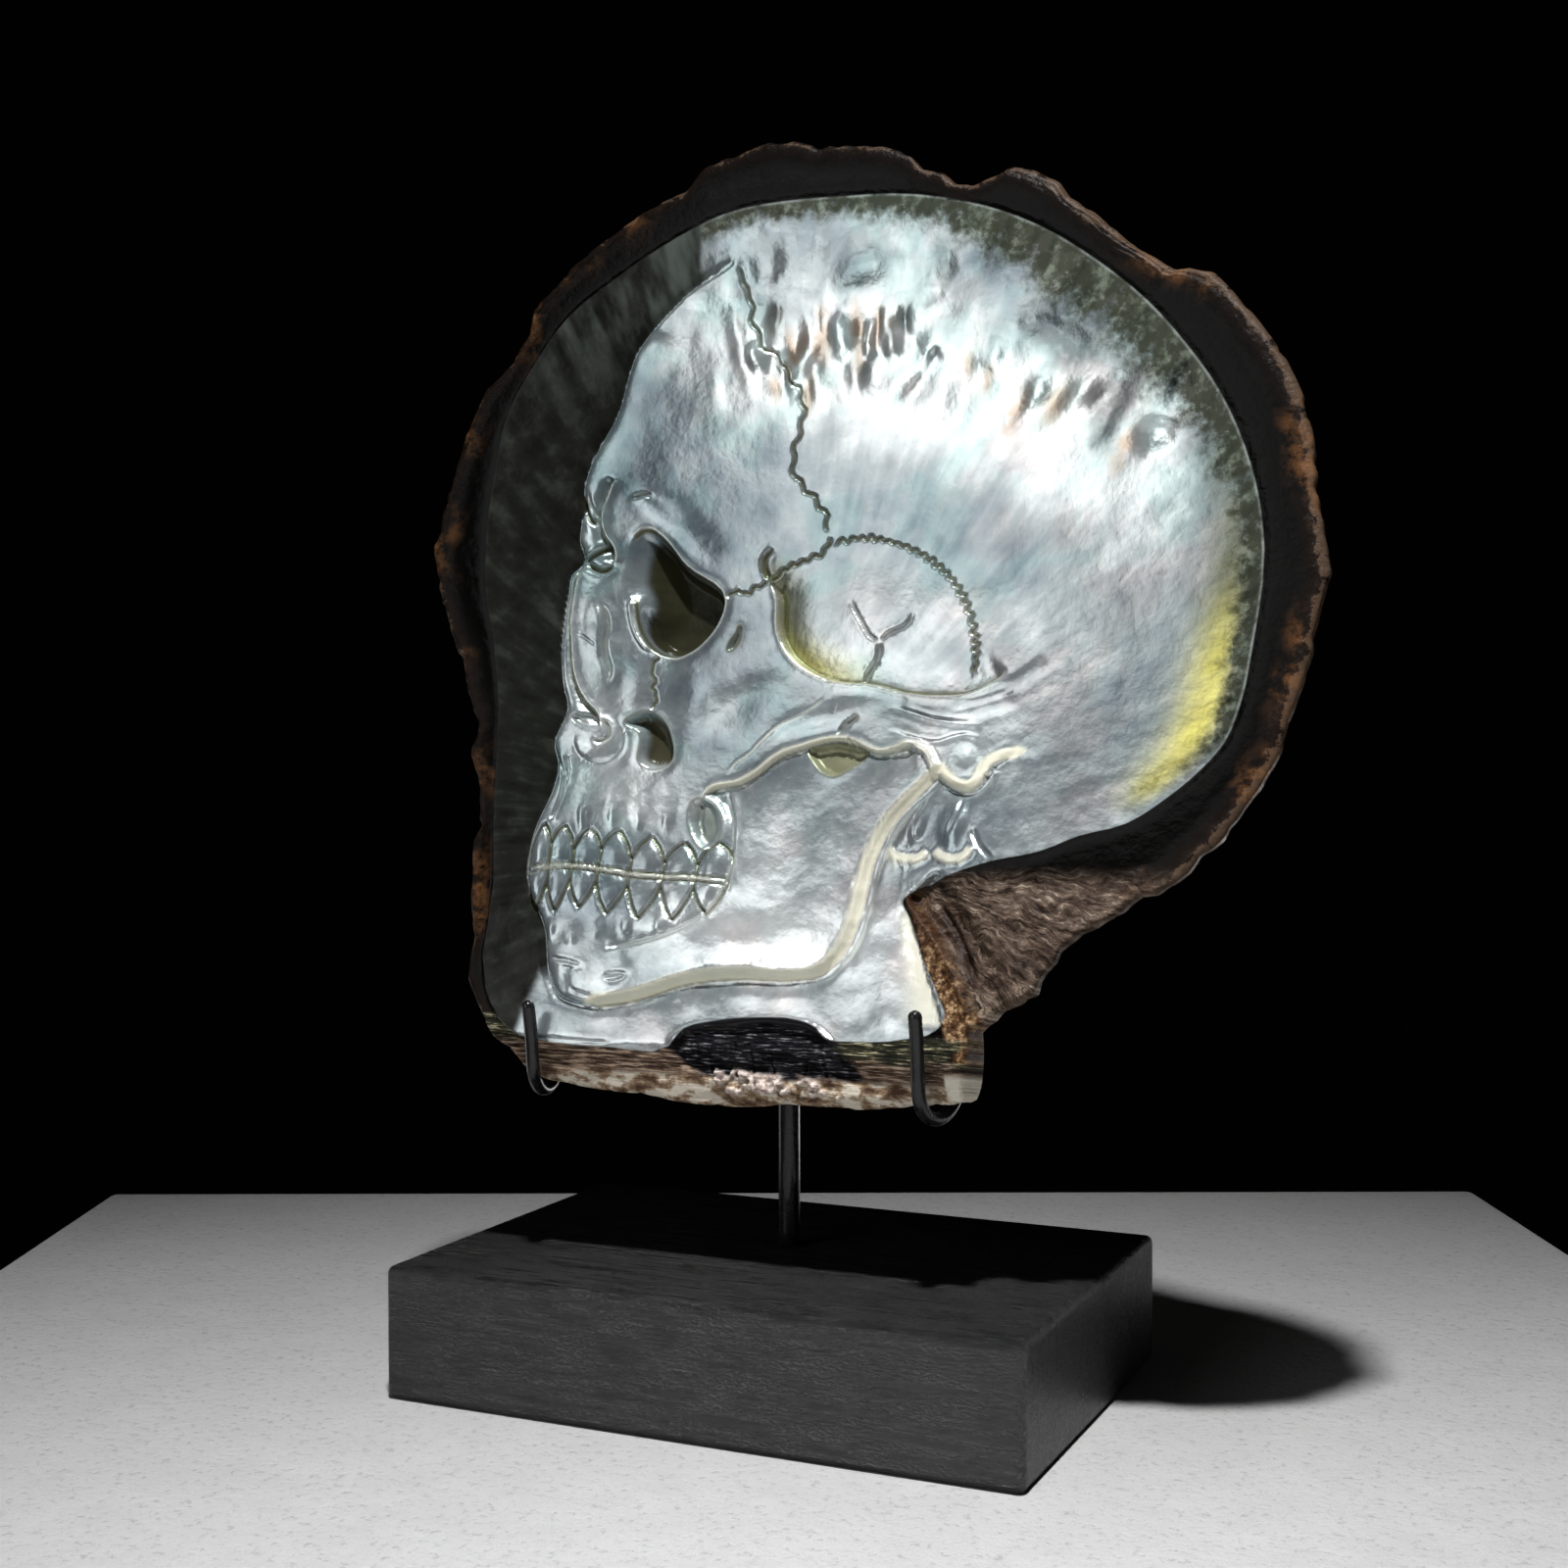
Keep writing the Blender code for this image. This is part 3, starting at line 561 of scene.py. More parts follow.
class Relief:
    """Height over the bowl at a set of shell points, built up cut by cut.

    Each cut works only on the points near its line. tint holds how cream, olive, dark and yellow the
    surface is there, the olive and dark being partly painted shade in the cuts and pits, and near the
    distance to the closest cut, which sets how fine the lattice gets.
    """

    def __init__(self, points):
        self.points = points
        self.height = np.zeros(len(points))
        self.near = np.full(len(points), FAR)
        self.tint = {name: np.zeros(len(points)) for name in ("cream", "olive", "dark", "yellow")}

    def follow(self, line, margin, taper=0.0, sharp=True):
        """Rows near a line, their distance and side, and a fade to nothing at the line's ends."""
        low, high = line.min(axis=0) - margin, line.max(axis=0) + margin
        rows = np.flatnonzero(((self.points > low) & (self.points < high)).all(axis=1))
        away, side, share = nearest(self.points[rows], line)
        if sharp:
            self.near[rows] = np.minimum(self.near[rows], away)
        fade = np.ones(len(rows))
        if taper:
            fade = ease(0.0, taper, share) * ease(0.0, taper, 1.0 - share)
        return rows, away, side, fade

    def gap(self, line, margin):
        """Distance to a line at every point, or FAR beyond its margin."""
        away = np.full(len(self.points), FAR)
        rows, near, _, _ = self.follow(line, margin)
        away[rows] = near
        return away

    def paint(self, name, rows, amount):
        """Brings a tint up to an amount, and never down."""
        self.tint[name][rows] = np.maximum(self.tint[name][rows], amount)

    def groove(self, line, depth, width, taper=0.1, olive=0.0, burr=0.22):
        """A V: full depth on the line, a straight slope to nothing, and a low burr on each side."""
        rows, away, _, fade = self.follow(line, 3.0 * width + 1.0, taper)
        vee = np.clip(1.0 - away / width, 0.0, 1.0)
        lip = burr * depth * bell(away - 1.5 * width, 0.7 * width)
        self.height[rows] += fade * (lip - depth * vee**1.3)
        # Olive along the groove: partly its own colour, partly painted shade in it.
        self.paint("olive", rows, olive * fade * bell(away, 0.55 * width + 0.12))

    def ledge(self, line, low_side, depth, wall, ramp, crest, cream, olive):
        """A cut that stops at its line: a wall down on one side, a long ramp back up, a crest above."""
        rows, away, side, fade = self.follow(line, ramp, 0.05)
        low = side == low_side
        drop = depth * ease(0.0, wall, away) * np.clip(1.0 - (away - wall) / (ramp - wall), 0.0, 1.0) ** 2
        top = crest * np.where(low, bell(away, 0.35), bell(away, 1.0))
        self.height[rows] += fade * (top - np.where(low, drop, 0.0))
        # Cream on the wall and along the crest, the crest's cream partly a painted highlight; olive at the
        # wall's foot, partly painted shade under it.
        cut = np.where(low, 1.0 - ease(0.6 * wall, 1.2 * wall, away), bell(away, 0.6))
        self.paint("cream", rows, cream * fade * cut)
        self.paint("olive", rows, olive * fade * np.where(low, bell(away - 1.1 * wall, 0.45), 0.0))

    def cord(self, line, width, height, cream):
        """A raised half-round: height times the root of 1 - (distance / width) squared."""
        rows, away, _, fade = self.follow(line, 2.0 * width + 1.0, 0.12)
        half = np.sqrt(np.clip(1.0 - (away / (1.35 * width)) ** 2, 0.0, 1.0))
        self.height[rows] += fade * height * (half - 0.25 * bell(away - 1.6 * width, 0.5 * width))
        self.paint("cream", rows, cream * fade * half)

    def hollow(self, outline, depth, wall, lip=0.25, olive=0.0, dark=0.0):
        """A pit: eased from its outline down to full depth at the wall's width, with a raised lip."""
        rows, away, _, _ = self.follow(outline, 3.0)
        within = inside(self.points[rows], outline)
        sunk = np.where(within, ease(0.0, wall, away), 0.0)
        self.height[rows] += lip * np.where(within, bell(away, 0.3), bell(away, 0.9)) - depth * sunk
        # The pit's floor is painted dark as shade, with olive in it and round its rim, partly painted
        # shade.
        self.paint("olive", rows, olive * np.maximum(sunk, bell(away, 0.4)))
        self.paint("dark", rows, dark * sunk)

    def mound(self, centre, sizes, height, turn=0.0, stray=0.0):
        """A soft bump: height times (1 - r r) squared in an ellipse, whose points may stray a little."""
        rel = self.points - centre + stray
        c, s = math.cos(math.radians(turn)), math.sin(math.radians(turn))
        a = (rel[:, 0] * c + rel[:, 1] * s) / sizes[0]
        b = (rel[:, 1] * c - rel[:, 0] * s) / sizes[1]
        rise = np.clip(1.0 - a * a - b * b, 0.0, 1.0)
        self.height += height * rise**2
        return rise


def head_outline():
    """The skull's closed outline, shut far outside the rim at the upper right."""
    return np.vstack([curve(PROFILE), curve(JAW_EDGE), curve(EAR_EDGE), np.array(HEAD_CLOSE)])


def raise_head(relief):
    """The skull's body: a quarter round in from the face's edge and a steep cream wall along the jaw."""
    points = relief.points
    u, v = points.T
    everywhere = slice(None)
    to_face = relief.gap(curve(PROFILE), FACE_SHOULDER + 1.0)
    to_jaw = relief.gap(np.vstack([curve(JAW_EDGE), curve(EAR_EDGE)[1:]]), FACE_SHOULDER)
    within = inside(points, head_outline())
    round_in = np.sqrt(1.0 - (1.0 - np.clip(to_face / FACE_SHOULDER, 0.0, 1.0)) ** 2)
    wall = 0.85 * ease(0.0, JAW_WALL, to_jaw) + 0.15 * ease(0.0, FACE_SHOULDER, to_jaw)
    fade = 1.0 - ease(*FACE_FADE_RIGHT, u)
    fade *= 1.0 - ease(*FACE_FADE_TOP, v + 0.35 * u)
    relief.height += np.where(within, FACE_HEIGHT * np.minimum(round_in, wall) * fade, 0.0)
    band = np.where(within, 1.0 - ease(0.75 * JAW_WALL, 1.25 * JAW_WALL, to_jaw), bell(to_jaw, 0.3))
    relief.paint("cream", everywhere, band)
    relief.height -= np.where(within, 0.0, 0.45 * bell(to_jaw - 0.9, 0.9) * (v < 60.0))
    # Olive just below the jaw's wall, partly painted shade under it.
    foot = np.where(within, 0.0, bell(to_jaw - 0.2, 0.35) * ease(14.0, -14.0, u))
    relief.paint("olive", everywhere, 0.9 * foot)
    relief.height -= np.where(within, 0.0, 0.4 * bell(to_face - 0.5, 0.6))
    # The dark outer layer is left on the ground in front of the face
    ground = np.where(within, 0.0, ease(0.0, 0.6, to_face))
    lower = ease(15.0, 23.0, v - 0.25 * (u + 45.0))
    ground *= np.maximum(lower, ease(-39.5, -43.5, u - 0.25 * (v - 14.0)))
    stray = 3.5 * noise(u / 2.6, v / 9.0, 18)
    ground *= ease(-2.0, -20.0, u - np.clip(152.0 - v, 0.0, None) * 0.8 + stray)
    ground *= ease(-10.0, -22.0, u + stray) * ease(-12.0, -15.5, u)
    relief.paint("dark", everywhere, ground)


def sink_orbit(relief):
    """The eye socket: steep along its upper and lower right rim, sloping gently from the nose's side."""
    hard, soft = curve(ORBIT_HARD), curve(ORBIT_SOFT)
    outline = np.vstack([hard, soft[1:]])
    rows, to_hard, _, _ = relief.follow(hard, 4.0)
    within = inside(relief.points[rows], outline)
    to_soft, _, _ = nearest(relief.points[rows], soft)
    sunk = np.where(within, ease(0.0, 2.2, to_hard) * ease(-1.0, 9.0, to_soft), 0.0)
    lip = np.where(within, bell(to_hard, 0.3), bell(to_hard, 0.9))
    relief.height[rows] += 0.35 * lip - 4.6 * sunk
    # The socket's floor is painted dark as shade, with an olive line of painted shade inside its steep
    # wall.
    relief.paint("dark", rows, ease(0.05, 0.6, sunk))
    relief.paint("olive", rows, np.where(within, bell(to_hard - 0.4, 0.4), 0.0))
    relief.paint("cream", rows, 0.3 * bell(to_hard, 0.4) * ~within)


def carve_teeth(relief):
    """Two rows of seven pointed teeth that meet on the bite line.

    A tooth's tip is above or below the middle of its two borders. Its sides bow out from the valleys,
    and its crown is a bump inside them.
    """
    bite = np.array(BITE)
    middle = (bite[:-1] + bite[1:]) / 2.0
    rows = ((UPPER_VALLEYS, UPPER_TIPS, 1.0), (LOWER_VALLEYS, LOWER_TIPS, -1.0))
    for valleys, tips, up in rows:
        ends = np.stack([bite[:, 0], np.array(valleys)], -1)
        for k, tip in enumerate(tips):
            left, right = ends[k], ends[k + 1]
            top = np.array([middle[k, 0], tip])
            bow = np.array([0.0, up * TOOTH_BOW])
            side_a = curve((left, (left * 0.52 + top * 0.48) + bow, top), steps=4)
            side_b = curve((right, (right * 0.52 + top * 0.48) + bow, top), steps=4)
            relief.groove(side_a, *TOOTH_CUT, 0.03, 1.0, 0.1)
            relief.groove(side_b, *TOOTH_CUT, 0.03, 1.0, 0.1)
            half = (bite[k + 1, 0] - bite[k, 0]) / 2.0
            crown = (middle[k, 0], (middle[k, 1] + tip) / 2.0 - up * 0.6)
            relief.mound(crown, (half * 0.95, abs(tip - middle[k, 1]) * 0.62), 0.55)
        for border, valley in zip(bite, ends):
            relief.groove(np.stack([border, valley]), *TOOTH_BORDER_CUT, 0.0, 1.0, 0.1)
    for shift in (-BITE_GAP, BITE_GAP):
        relief.groove(curve(bite + (0.0, shift)), 0.45, 0.35, 0.02, 0.9)
    relief.cord(curve(BITE), 0.3, 0.12, 0.4)
    for spot in UPPER_ROOTS:
        relief.mound(spot, (1.3, 4.6), 0.8, 4.0)
    for spot in LOWER_ROOTS:
        relief.mound(spot, (1.3, 2.6), 0.6, 0.0)


def carve_skull(relief):
    """Every cut of the carving, in the order that its tools would work: body, ledges, pits, lines."""
    raise_head(relief)
    for line, *cut in LEDGES:
        relief.ledge(curve(line), *cut)
    rows, away, side, _ = relief.follow(curve(TEMPLE_LINE), 9.0, sharp=False)
    u, v = relief.points[rows].T
    cast = ease(8.5, 0.5, away) * (side > 0.0) * ease(22.0, 2.0, u) * ease(104.0, 99.0, v)
    relief.paint("yellow", rows, cast)
    relief.paint("olive", rows, 0.2 * cast)
    sink_orbit(relief)
    relief.hollow(curve(NOSTRIL, closed=True), 2.4, 1.4, 0.3, 0.6, 0.85)
    relief.hollow(curve(NOSTRIL_LEFT, closed=True), 0.8, 0.9, 0.15, 0.3, 0.15)
    relief.hollow(curve(CHEEK_PIT, closed=True), 1.1, 1.6, 0.1, 0.6, 0.25)
    relief.hollow(curve(JAW_PIT, closed=True), 1.2, 0.9, 0.2, 0.7, 0.0)
    relief.tint["yellow"][inside(relief.points, curve(JAW_PIT, closed=True))] = 0.35
    relief.hollow(curve(CHEEK_HOLE, closed=True), 0.8, 0.7, 0.1, 0.8, 0.0)
    for line, width, height, cream in CORDS:
        relief.cord(curve(line), width, height, cream)
    for line, depth, width, taper, olive in GROOVES:
        relief.groove(curve(line), depth, width, taper, olive)
    for seed, (line, step, height, depth, width) in enumerate(SUTURES):
        relief.groove(wavy(line, step, height, seed), depth, width, 0.03, 1.0, 0.06)
    for centre, sizes, height, turn in MOUNDS:
        relief.mound(centre, sizes, height, turn)
    turn = np.radians(np.arange(-200, 61, 26))
    ring = np.array(NOSE_BALL) + np.stack([np.cos(turn), np.sin(turn)], -1) * NOSE_BALL_HALF
    relief.groove(curve(ring), 0.3, 0.9, 0.2, 0.05, 0.1)
    carve_teeth(relief)


def pucker(points):
    """Radial folds across the top of the bowl, in one arc, and how far their right flanks fall, for painted
    shade and highlight.
    """
    u, v = points.T
    radius, angle = polar(points, FAN_CENTRE)
    arc = window(radius, *FOLD_REACH) * window(angle, *FOLD_TURN) * (0.3 + 0.7 * ease(60.0, 80.0, angle))
    bent = angle + 1.8 * noise(u / 8.0, v / 8.0, 13)
    reach = radius / 11.0 + 0.6 * noise(angle / 5.0, angle * 0.0, 14)
    left, middle, right = (
        0.7 * noise((bent + turn) / 2.6, reach, 11) + 0.3 * noise((bent + turn) / 1.4, reach * 1.7, 12)
        for turn in (0.7, 0.0, -0.7)
    )
    return arc * middle, arc * (left - right) * (0.4 + 0.6 * ease(66.0, 84.0, angle))


def hammered(points):
    """Low wobbles left by growth and polishing: noise of three sizes, stronger below and at the top."""
    u, v = points.T
    strength = 0.25 + 0.9 * np.maximum(ease(56.0, 34.0, v), ease(118.0, 146.0, v))
    fine = 0.05 * noise(u / 1.7, v / 1.3, 23) * ease(60.0, 40.0, v)
    return strength * (0.2 * noise(u / 6.0, v / 5.0, 21) + 0.13 * noise(u / 3.1, v / 2.8, 22) + fine)


def shape_lip(relief, border, edge):
    """The lip outside the pearl: a thin ridge at its edge, a rolled black band, then thin scaly steps."""
    points = relief.points
    share = np.clip(-border / np.clip(edge - border, 1.0, None), 0.0, 1.0)
    outer = (border < 0.0) & (points[:, 1] > 12.0)
    _, angle = polar(points, SHELL_CENTRE)
    ragged = 0.5 * noise(angle / 4.0, share * 2.0, 31) + 0.5 * noise(angle / 1.5, share * 3.0, 32)
    band = -0.3 * ease(0.0, 0.12, share) + 0.25 * ease(0.3, 0.7, share)
    steps = sum(0.22 * ease(at, at + 0.05, share + 0.12 * ragged) for at in (0.6, 0.76, 0.9))
    rough = 0.18 * ragged * ease(0.45, 0.85, share)
    relief.height += np.where(outer, band - steps + rough, 0.0)


def shape_notch(relief):
    """Bottom right, below the pearl: a fan of layer edges cut across, with a ledge and a dark slit."""
    points = relief.points
    u, v = points.T
    facet = u - NOTCH_LEDGE[0][0] + 0.47 * (v - NOTCH_LEDGE[0][1])
    rows, away, side, fade = relief.follow(curve(NOTCH_LEDGE), 9.0, 0.04)
    drop = 2.2 * ease(0.0, 1.4, away) * (1.0 - ease(5.0, 9.0, away))
    relief.height[rows] += fade * (0.5 * bell(away, 0.8) - np.where(side > 0.0, drop, 0.0))
    relief.groove(curve(NOTCH_SLIT), 1.0, 0.8, 0.25)
    rows, away, _, fade = relief.follow(curve(NOTCH_SLIT), 5.0, 0.25, sharp=False)
    relief.paint("olive", rows, 0.9 * fade * bell(away, 1.9))
    region = ease(44.0, 38.0, v) * ease(28.0, 33.0, u + 0.4 * (v - 16.0)) * ease(0.0, 0.8, facet)
    reach, angle = polar(points, NOTCH_CENTRE)
    leaves = noise(reach / 14.0, angle / 2.4, 41) + 0.6 * noise(reach / 6.0, angle / 1.1, 42)
    relief.height += region * (0.3 * leaves + 0.15 * noise(u / 1.2, v / 1.2, 43))
    # A cream facet beside it, wider towards the hinge
    cream = ease(-1.2 - 0.45 * (38.0 - v), -0.4, facet) * (facet < 0.4)
    cream *= ease(38.0, 34.0, v) * ease(14.5, 17.0, v)
    relief.height -= 0.9 * cream * cream
    relief.paint("cream", slice(None), 0.7 * ease(0.05, 0.95, cream))
    return region


def shape_hinge(relief):
    """Hinge plate in fine level layers, the cracked ligament in its bed, and a bubbly crust."""
    points = relief.points
    u, v = points.T
    plate = ease(*HINGE_LAYERS_TOP, v + 0.02 * u) * (np.abs(u) < 50.0)
    layers = 0.2 * noise(u / 18.0, v / 0.6 + 0.5 * noise(u / 5.0, v / 3.0, 50), 51)
    layers += 0.12 * noise(u / 4.0, v / 0.35, 52)
    layers -= 0.5 * ease(0.15, 0.7, noise(u / 9.0, v / 1.6, 58)) * ease(4.0, 6.0, v)
    relief.height += plate * layers
    ligament, crust = np.zeros(len(points)), np.zeros(len(points))
    outline = curve(LIGAMENT, closed=True)
    rows, away, _, _ = relief.follow(outline, 2.0)
    bed = inside(points[rows], outline) * ease(0.0, 1.2, away)
    a, b = points[rows].T
    lumps = 0.35 * noise(a / 3.2, b / 2.4, 53) + 0.12 * noise(a / 1.2, b / 0.9, 54)
    lines = 0.12 * noise(a / 9.0, b / 0.3, 55)
    relief.height[rows] += bed * (lumps + lines - 0.5)
    ligament[rows] = bed
    for k, at in enumerate(LIGAMENT_CRACKS):
        bent = [(at + 0.5 * math.sin(2.3 * k + 0.8 * h), 5.0 + 1.3 * h) for h in range(6)]
        relief.groove(curve(bent), 0.8, 0.45, 0.15)
    rows, away, _, fade = relief.follow(curve(LIGAMENT_BAND), 3.0, 0.08)
    relief.height[rows] += fade * 0.9 * np.sqrt(np.clip(1.0 - (away / 1.1) ** 2, 0.0, 1.0))
    outline = curve(CRUST, closed=True)
    rows, away, _, _ = relief.follow(outline, 2.0)
    a, b = points[rows].T
    bubbles = np.abs(noise(a / 1.6, b / 1.4, 56)) + 0.5 * np.abs(noise(a / 0.7, b / 0.6, 57))
    clumps = noise(a / 2.6, b / 1.7, 59) + 0.6 * noise(a / 1.1, b / 0.9, 60)
    within = inside(points[rows], outline) * ease(0.0, 1.0, away) * ease(-0.25, 0.15, clumps)
    relief.height[rows] += within * (0.2 + 1.2 * bubbles)
    crust[rows] = within
    return ligament, crust


def pearl_painted_light_and_margin(points, border):
    """How light the pearl is, 0 to 1, and how much of its dark margin shows.

    The lightness is partly the layer's own tone and partly painted highlight and reflection, brightest
    along the fan's folded arc and under the jaw, with painted shade in some hollows. The margin is
    widest at the upper right.
    """
    radius, angle = polar(points, FAN_CENTRE)
    light = 0.56 + 0.5 * bell(radius - 89.0, 14.0) * window(angle, 22.0, 40.0, 92.0, 112.0)
    for centre, sizes, amount in TONE_AND_PAINTED_LIGHT_SPOTS:
        light += amount * bell(np.hypot(*((points - centre) / sizes).T), 1.0)
    width = 7.0 + 12.0 * bell(angle - 55.0, 18.0) - bell(angle - 90.0, 12.0)
    margin = ease(1.0, 0.1, border / width) * window(angle, 0.0, 12.0, 115.0, 150.0)
    return light, margin


def bowl(points):
    """Hollow face without its relief: a bowl, and the hinge plate sloping away under it."""
    depth = BOWL_DEPTH * (1.0 - spread(points) ** 2) ** BOWL_POWER
    return -depth - np.clip(HINGE_PLATE_TOP - points[:, 1], 0.0, None) * HINGE_PLATE_SLOPE


def back(points):
    """Outer face: a deeper bowl, thickest along the hinge, in scaly growth steps round the hinge."""
    depth = LIP_THICKNESS + BACK_DEPTH * (1.0 - spread(points) ** 2) ** BACK_POWER
    hinge = ease(28.0, 8.0, points[:, 1])
    thick = HINGE_BACK - HINGE_EDGE_CUT * ease(7.0, 0.5, points[:, 1])
    plain = -(depth * (1.0 - hinge) + thick * hinge)
    _, angle = polar(points, GROWTH_CENTRE)
    reach = np.hypot(*((points - GROWTH_CENTRE) * (1.08, 1.0)).T)
    growth = reach / 6.5 + 0.9 * noise(angle / 9.0, reach / 40.0, 61)
    growth += 0.5 * noise(angle / 3.0, reach / 14.0, 62)
    scale = growth - np.floor(growth)
    torn = 0.55 + 0.45 * noise(angle / 4.0, np.floor(growth) * 0.7, 63)
    lift = 0.9 * torn * scale**1.6 * ease(1.0, 0.93, scale)
    rib = 0.35 * noise(angle / 2.1, reach / 60.0, 64)
    fade = ease(8.0, 24.0, points[:, 1]) * ease(0.6, 3.5, rim_gap(points))
    return plain - fade * (lift + rib) + fade * 0.3


def face(points):
    """Height of the hollow face, and what its finish reads at each point."""
    relief = Relief(points)
    pearl_edge = curve(PEARL_EDGE, closed=True, steps=3)
    away, _, _ = nearest(points, pearl_edge)
    border = np.where(inside(points, pearl_edge), away, -away)
    edge = rim_gap(points)
    carve_skull(relief)
    within = ease(0.0, 4.0, border)
    folds, flank = pucker(points)
    relief.height += within * (0.85 * folds + hammered(points))
    stray = np.stack([noise(*points.T / 4.0, 16), noise(*points.T / 4.0, 17)], -1) * 1.3
    for centre, sizes, height, turn in SWELLINGS:
        relief.mound(centre, sizes, height, turn, stray)
    hollow, crease = np.zeros(len(points)), np.zeros(len(points))
    for listed, shade in ((HOLLOWS_WITH_PAINTED_SHADE, hollow), (CREASES, crease)):
        for centre, sizes, height, turn in listed:
            np.maximum(shade, relief.mound(centre, sizes, height, turn, stray), out=shade)
    fringe = noise(np.degrees(np.arctan2(*(points - FAN_CENTRE).T)) / 0.9, border / 5.0, 71)
    relief.height += 0.12 * fringe * bell(border - 3.0, 2.5) * (points[:, 1] > 60.0)
    shape_lip(relief, border, edge)
    notch = shape_notch(relief)
    ligament, crust = shape_hinge(relief)
    roll = 0.45 * (1.0 - ease(0.0, 1.2, edge)) ** 2
    yellow, _, _ = nearest(points, curve(YELLOW_BAND))
    light, margin = pearl_painted_light_and_margin(points, border)
    marks = {
        "border": border,
        "edge": edge,
        **{name: relief.tint[name] for name in ("cream", "olive", "dark")},
        # The fold hollows and flanks carry painted shade and highlight, and light is partly painted
        # highlight, reflection and shade.
        "hollow": np.clip(1.6 * hollow**1.5, 0.0, 1.0) * within,
        "crease": crease * within,
        "flank": flank * within,
        "yellow": np.maximum(bell(yellow, 5.0) * within, relief.tint["yellow"]),
        "light": light,
        "margin": margin,
        "notch": notch,
        "ligament": ligament,
        "crust": crust,
    }
    return bowl(points) + relief.height - roll, relief.near, marks


def disc_to_shell(square, inset=0.0):
    """Square to disc by x = s root(1 - t t / 2), y = t root(1 - s s / 2), then out to near the rim."""
    s, t = square.T
    disc = np.stack([s * np.sqrt(1.0 - t * t / 2.0), t * np.sqrt(1.0 - s * s / 2.0)], -1)
    _, angle = polar(disc, 0.0)
    return SHELL_CENTRE + disc * (rim_radius(angle) - inset)[:, None]


def pooled(mask):
    """True for a cell where any of its four quarters is true."""
    return mask[::2, ::2] | mask[1::2, ::2] | mask[::2, 1::2] | mask[1::2, 1::2]


def grown(mask):
    """The mask spread by one cell each way."""
    wide = mask.copy()
    wide[1:] |= mask[:-1]
    wide[:-1] |= mask[1:]
    high = wide.copy()
    high[:, 1:] |= wide[:, :-1]
    high[:, :-1] |= wide[:, 1:]
    return high


def outermost(mask, value):
    """The mask with the cells along its edges set."""
    mask[:1] = mask[-1:] = value
    mask[:, :1] = mask[:, -1:] = value
    return mask


def cell_centres(cells):
    """Centres of a lattice's cells on the square from -1 to 1."""
    middle = (np.arange(cells) + 0.5) / cells * 2.0 - 1.0
    i, j = np.meshgrid(middle, middle, indexing="ij")
    return np.stack([i.ravel(), j.ravel()], -1)


def lattice(coarse, fine):
    """Corners and faces of a square lattice whose cells are split in four where a mask says.

    coarse marks the whole cells to split, and fine the quarters to split again. Corners lie on the grid
    of the smallest cells. A face takes in the middle of a side where a smaller neighbour has a corner.
    """
    cells = len(coarse)
    side = 4 * cells + 1
    quarter = np.argwhere(np.kron(coarse, np.ones((2, 2), bool)) & ~fine) * 2
    eighth = np.argwhere(np.kron(fine, np.ones((2, 2), bool)))
    sizes = ((np.argwhere(~coarse) * 4, 4), (quarter, 2), (eighth, 1))
    square = np.array([(0, 0), (1, 0), (1, 1), (0, 1)])
    used = np.zeros((side, side), bool)
    for low, size in sizes:
        spots = (low[:, None] + square * size).reshape(-1, 2)
        used[spots[:, 0], spots[:, 1]] = True
    number = np.cumsum(used).reshape(side, side) - 1
    loops, counts = [], []
    for low, size in sizes:
        ring = square * size
        if size > 1:
            ring = np.stack([ring, (ring + np.roll(ring, -1, axis=0)) // 2], 1).reshape(-1, 2)
        spots = low[:, None] + ring
        there = used[spots[..., 0], spots[..., 1]]
        loops.append(number[spots[..., 0], spots[..., 1]][there])
        counts.append(there.sum(axis=1))
    corners = np.argwhere(used) / (side - 1.0) * 2.0 - 1.0
    return corners, np.concatenate(loops), np.concatenate(counts), number


def border_ring(number):
    """Numbers of the corners round the lattice's edge, anticlockwise."""
    return np.concatenate([number[:-1:2, 0], number[-1, :-1:2], number[:0:-2, -1], number[0, :0:-2]])


def fill_mesh(name, spots, loops, counts):
    """A mesh from corners in metres and faces given as one run of corner numbers with their lengths."""
    mesh = bpy.data.meshes.new(name)
    mesh.vertices.add(len(spots))
    mesh.vertices.foreach_set("co", np.asarray(spots, np.float32).ravel())
    mesh.loops.add(len(loops))
    mesh.loops.foreach_set("vertex_index", np.asarray(loops, np.int32))
    mesh.polygons.add(len(counts))
    starts = np.concatenate([[0], np.cumsum(counts)[:-1]])
    mesh.polygons.foreach_set("loop_start", np.asarray(starts, np.int32))
    mesh.polygons.foreach_set("use_smooth", np.ones(len(counts), bool))
    mesh.update(calc_edges=True)
    mesh.validate()
    return mesh


def add_piece(name, mesh, finishes, slot, *nodes):
    """Links a finished mesh, rides it on the part's one body and lets it stand for its solids."""
    piece = bpy.data.objects.new(name, mesh)
    for finish in finishes:
        mesh.materials.append(finish)
    bpy.context.scene.collection.objects.link(piece)
    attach(piece, "root")
    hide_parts(*nodes)


def split_masks():
    """Which cells of the front lattice to split in four, and which of their quarters again."""
    cells = 2 * LATTICE_CELLS
    _, near, marks = face(disc_to_shell(cell_centres(cells)))
    near = near.reshape(cells, cells)
    mark = {name: values.reshape(cells, cells) for name, values in marks.items()}
    border = np.abs(mark["border"])
    fine = (near < SPLIT_TWICE_NEAR_CUT) | (border < SPLIT_TWICE_NEAR_PEARL_EDGE)
    fine = outermost(fine | (mark["ligament"] + mark["crust"] > 0.3), False)
    middle = (near < SPLIT_NEAR_CUT) | (border < SPLIT_NEAR_PEARL_EDGE) | (mark["notch"] > 0.4)
    middle |= (np.abs(mark["flank"]) > SPLIT_ON_FLANK) | (mark["edge"] < SPLIT_NEAR_RIM)
    return outermost(pooled(middle) | grown(pooled(fine)), True), fine


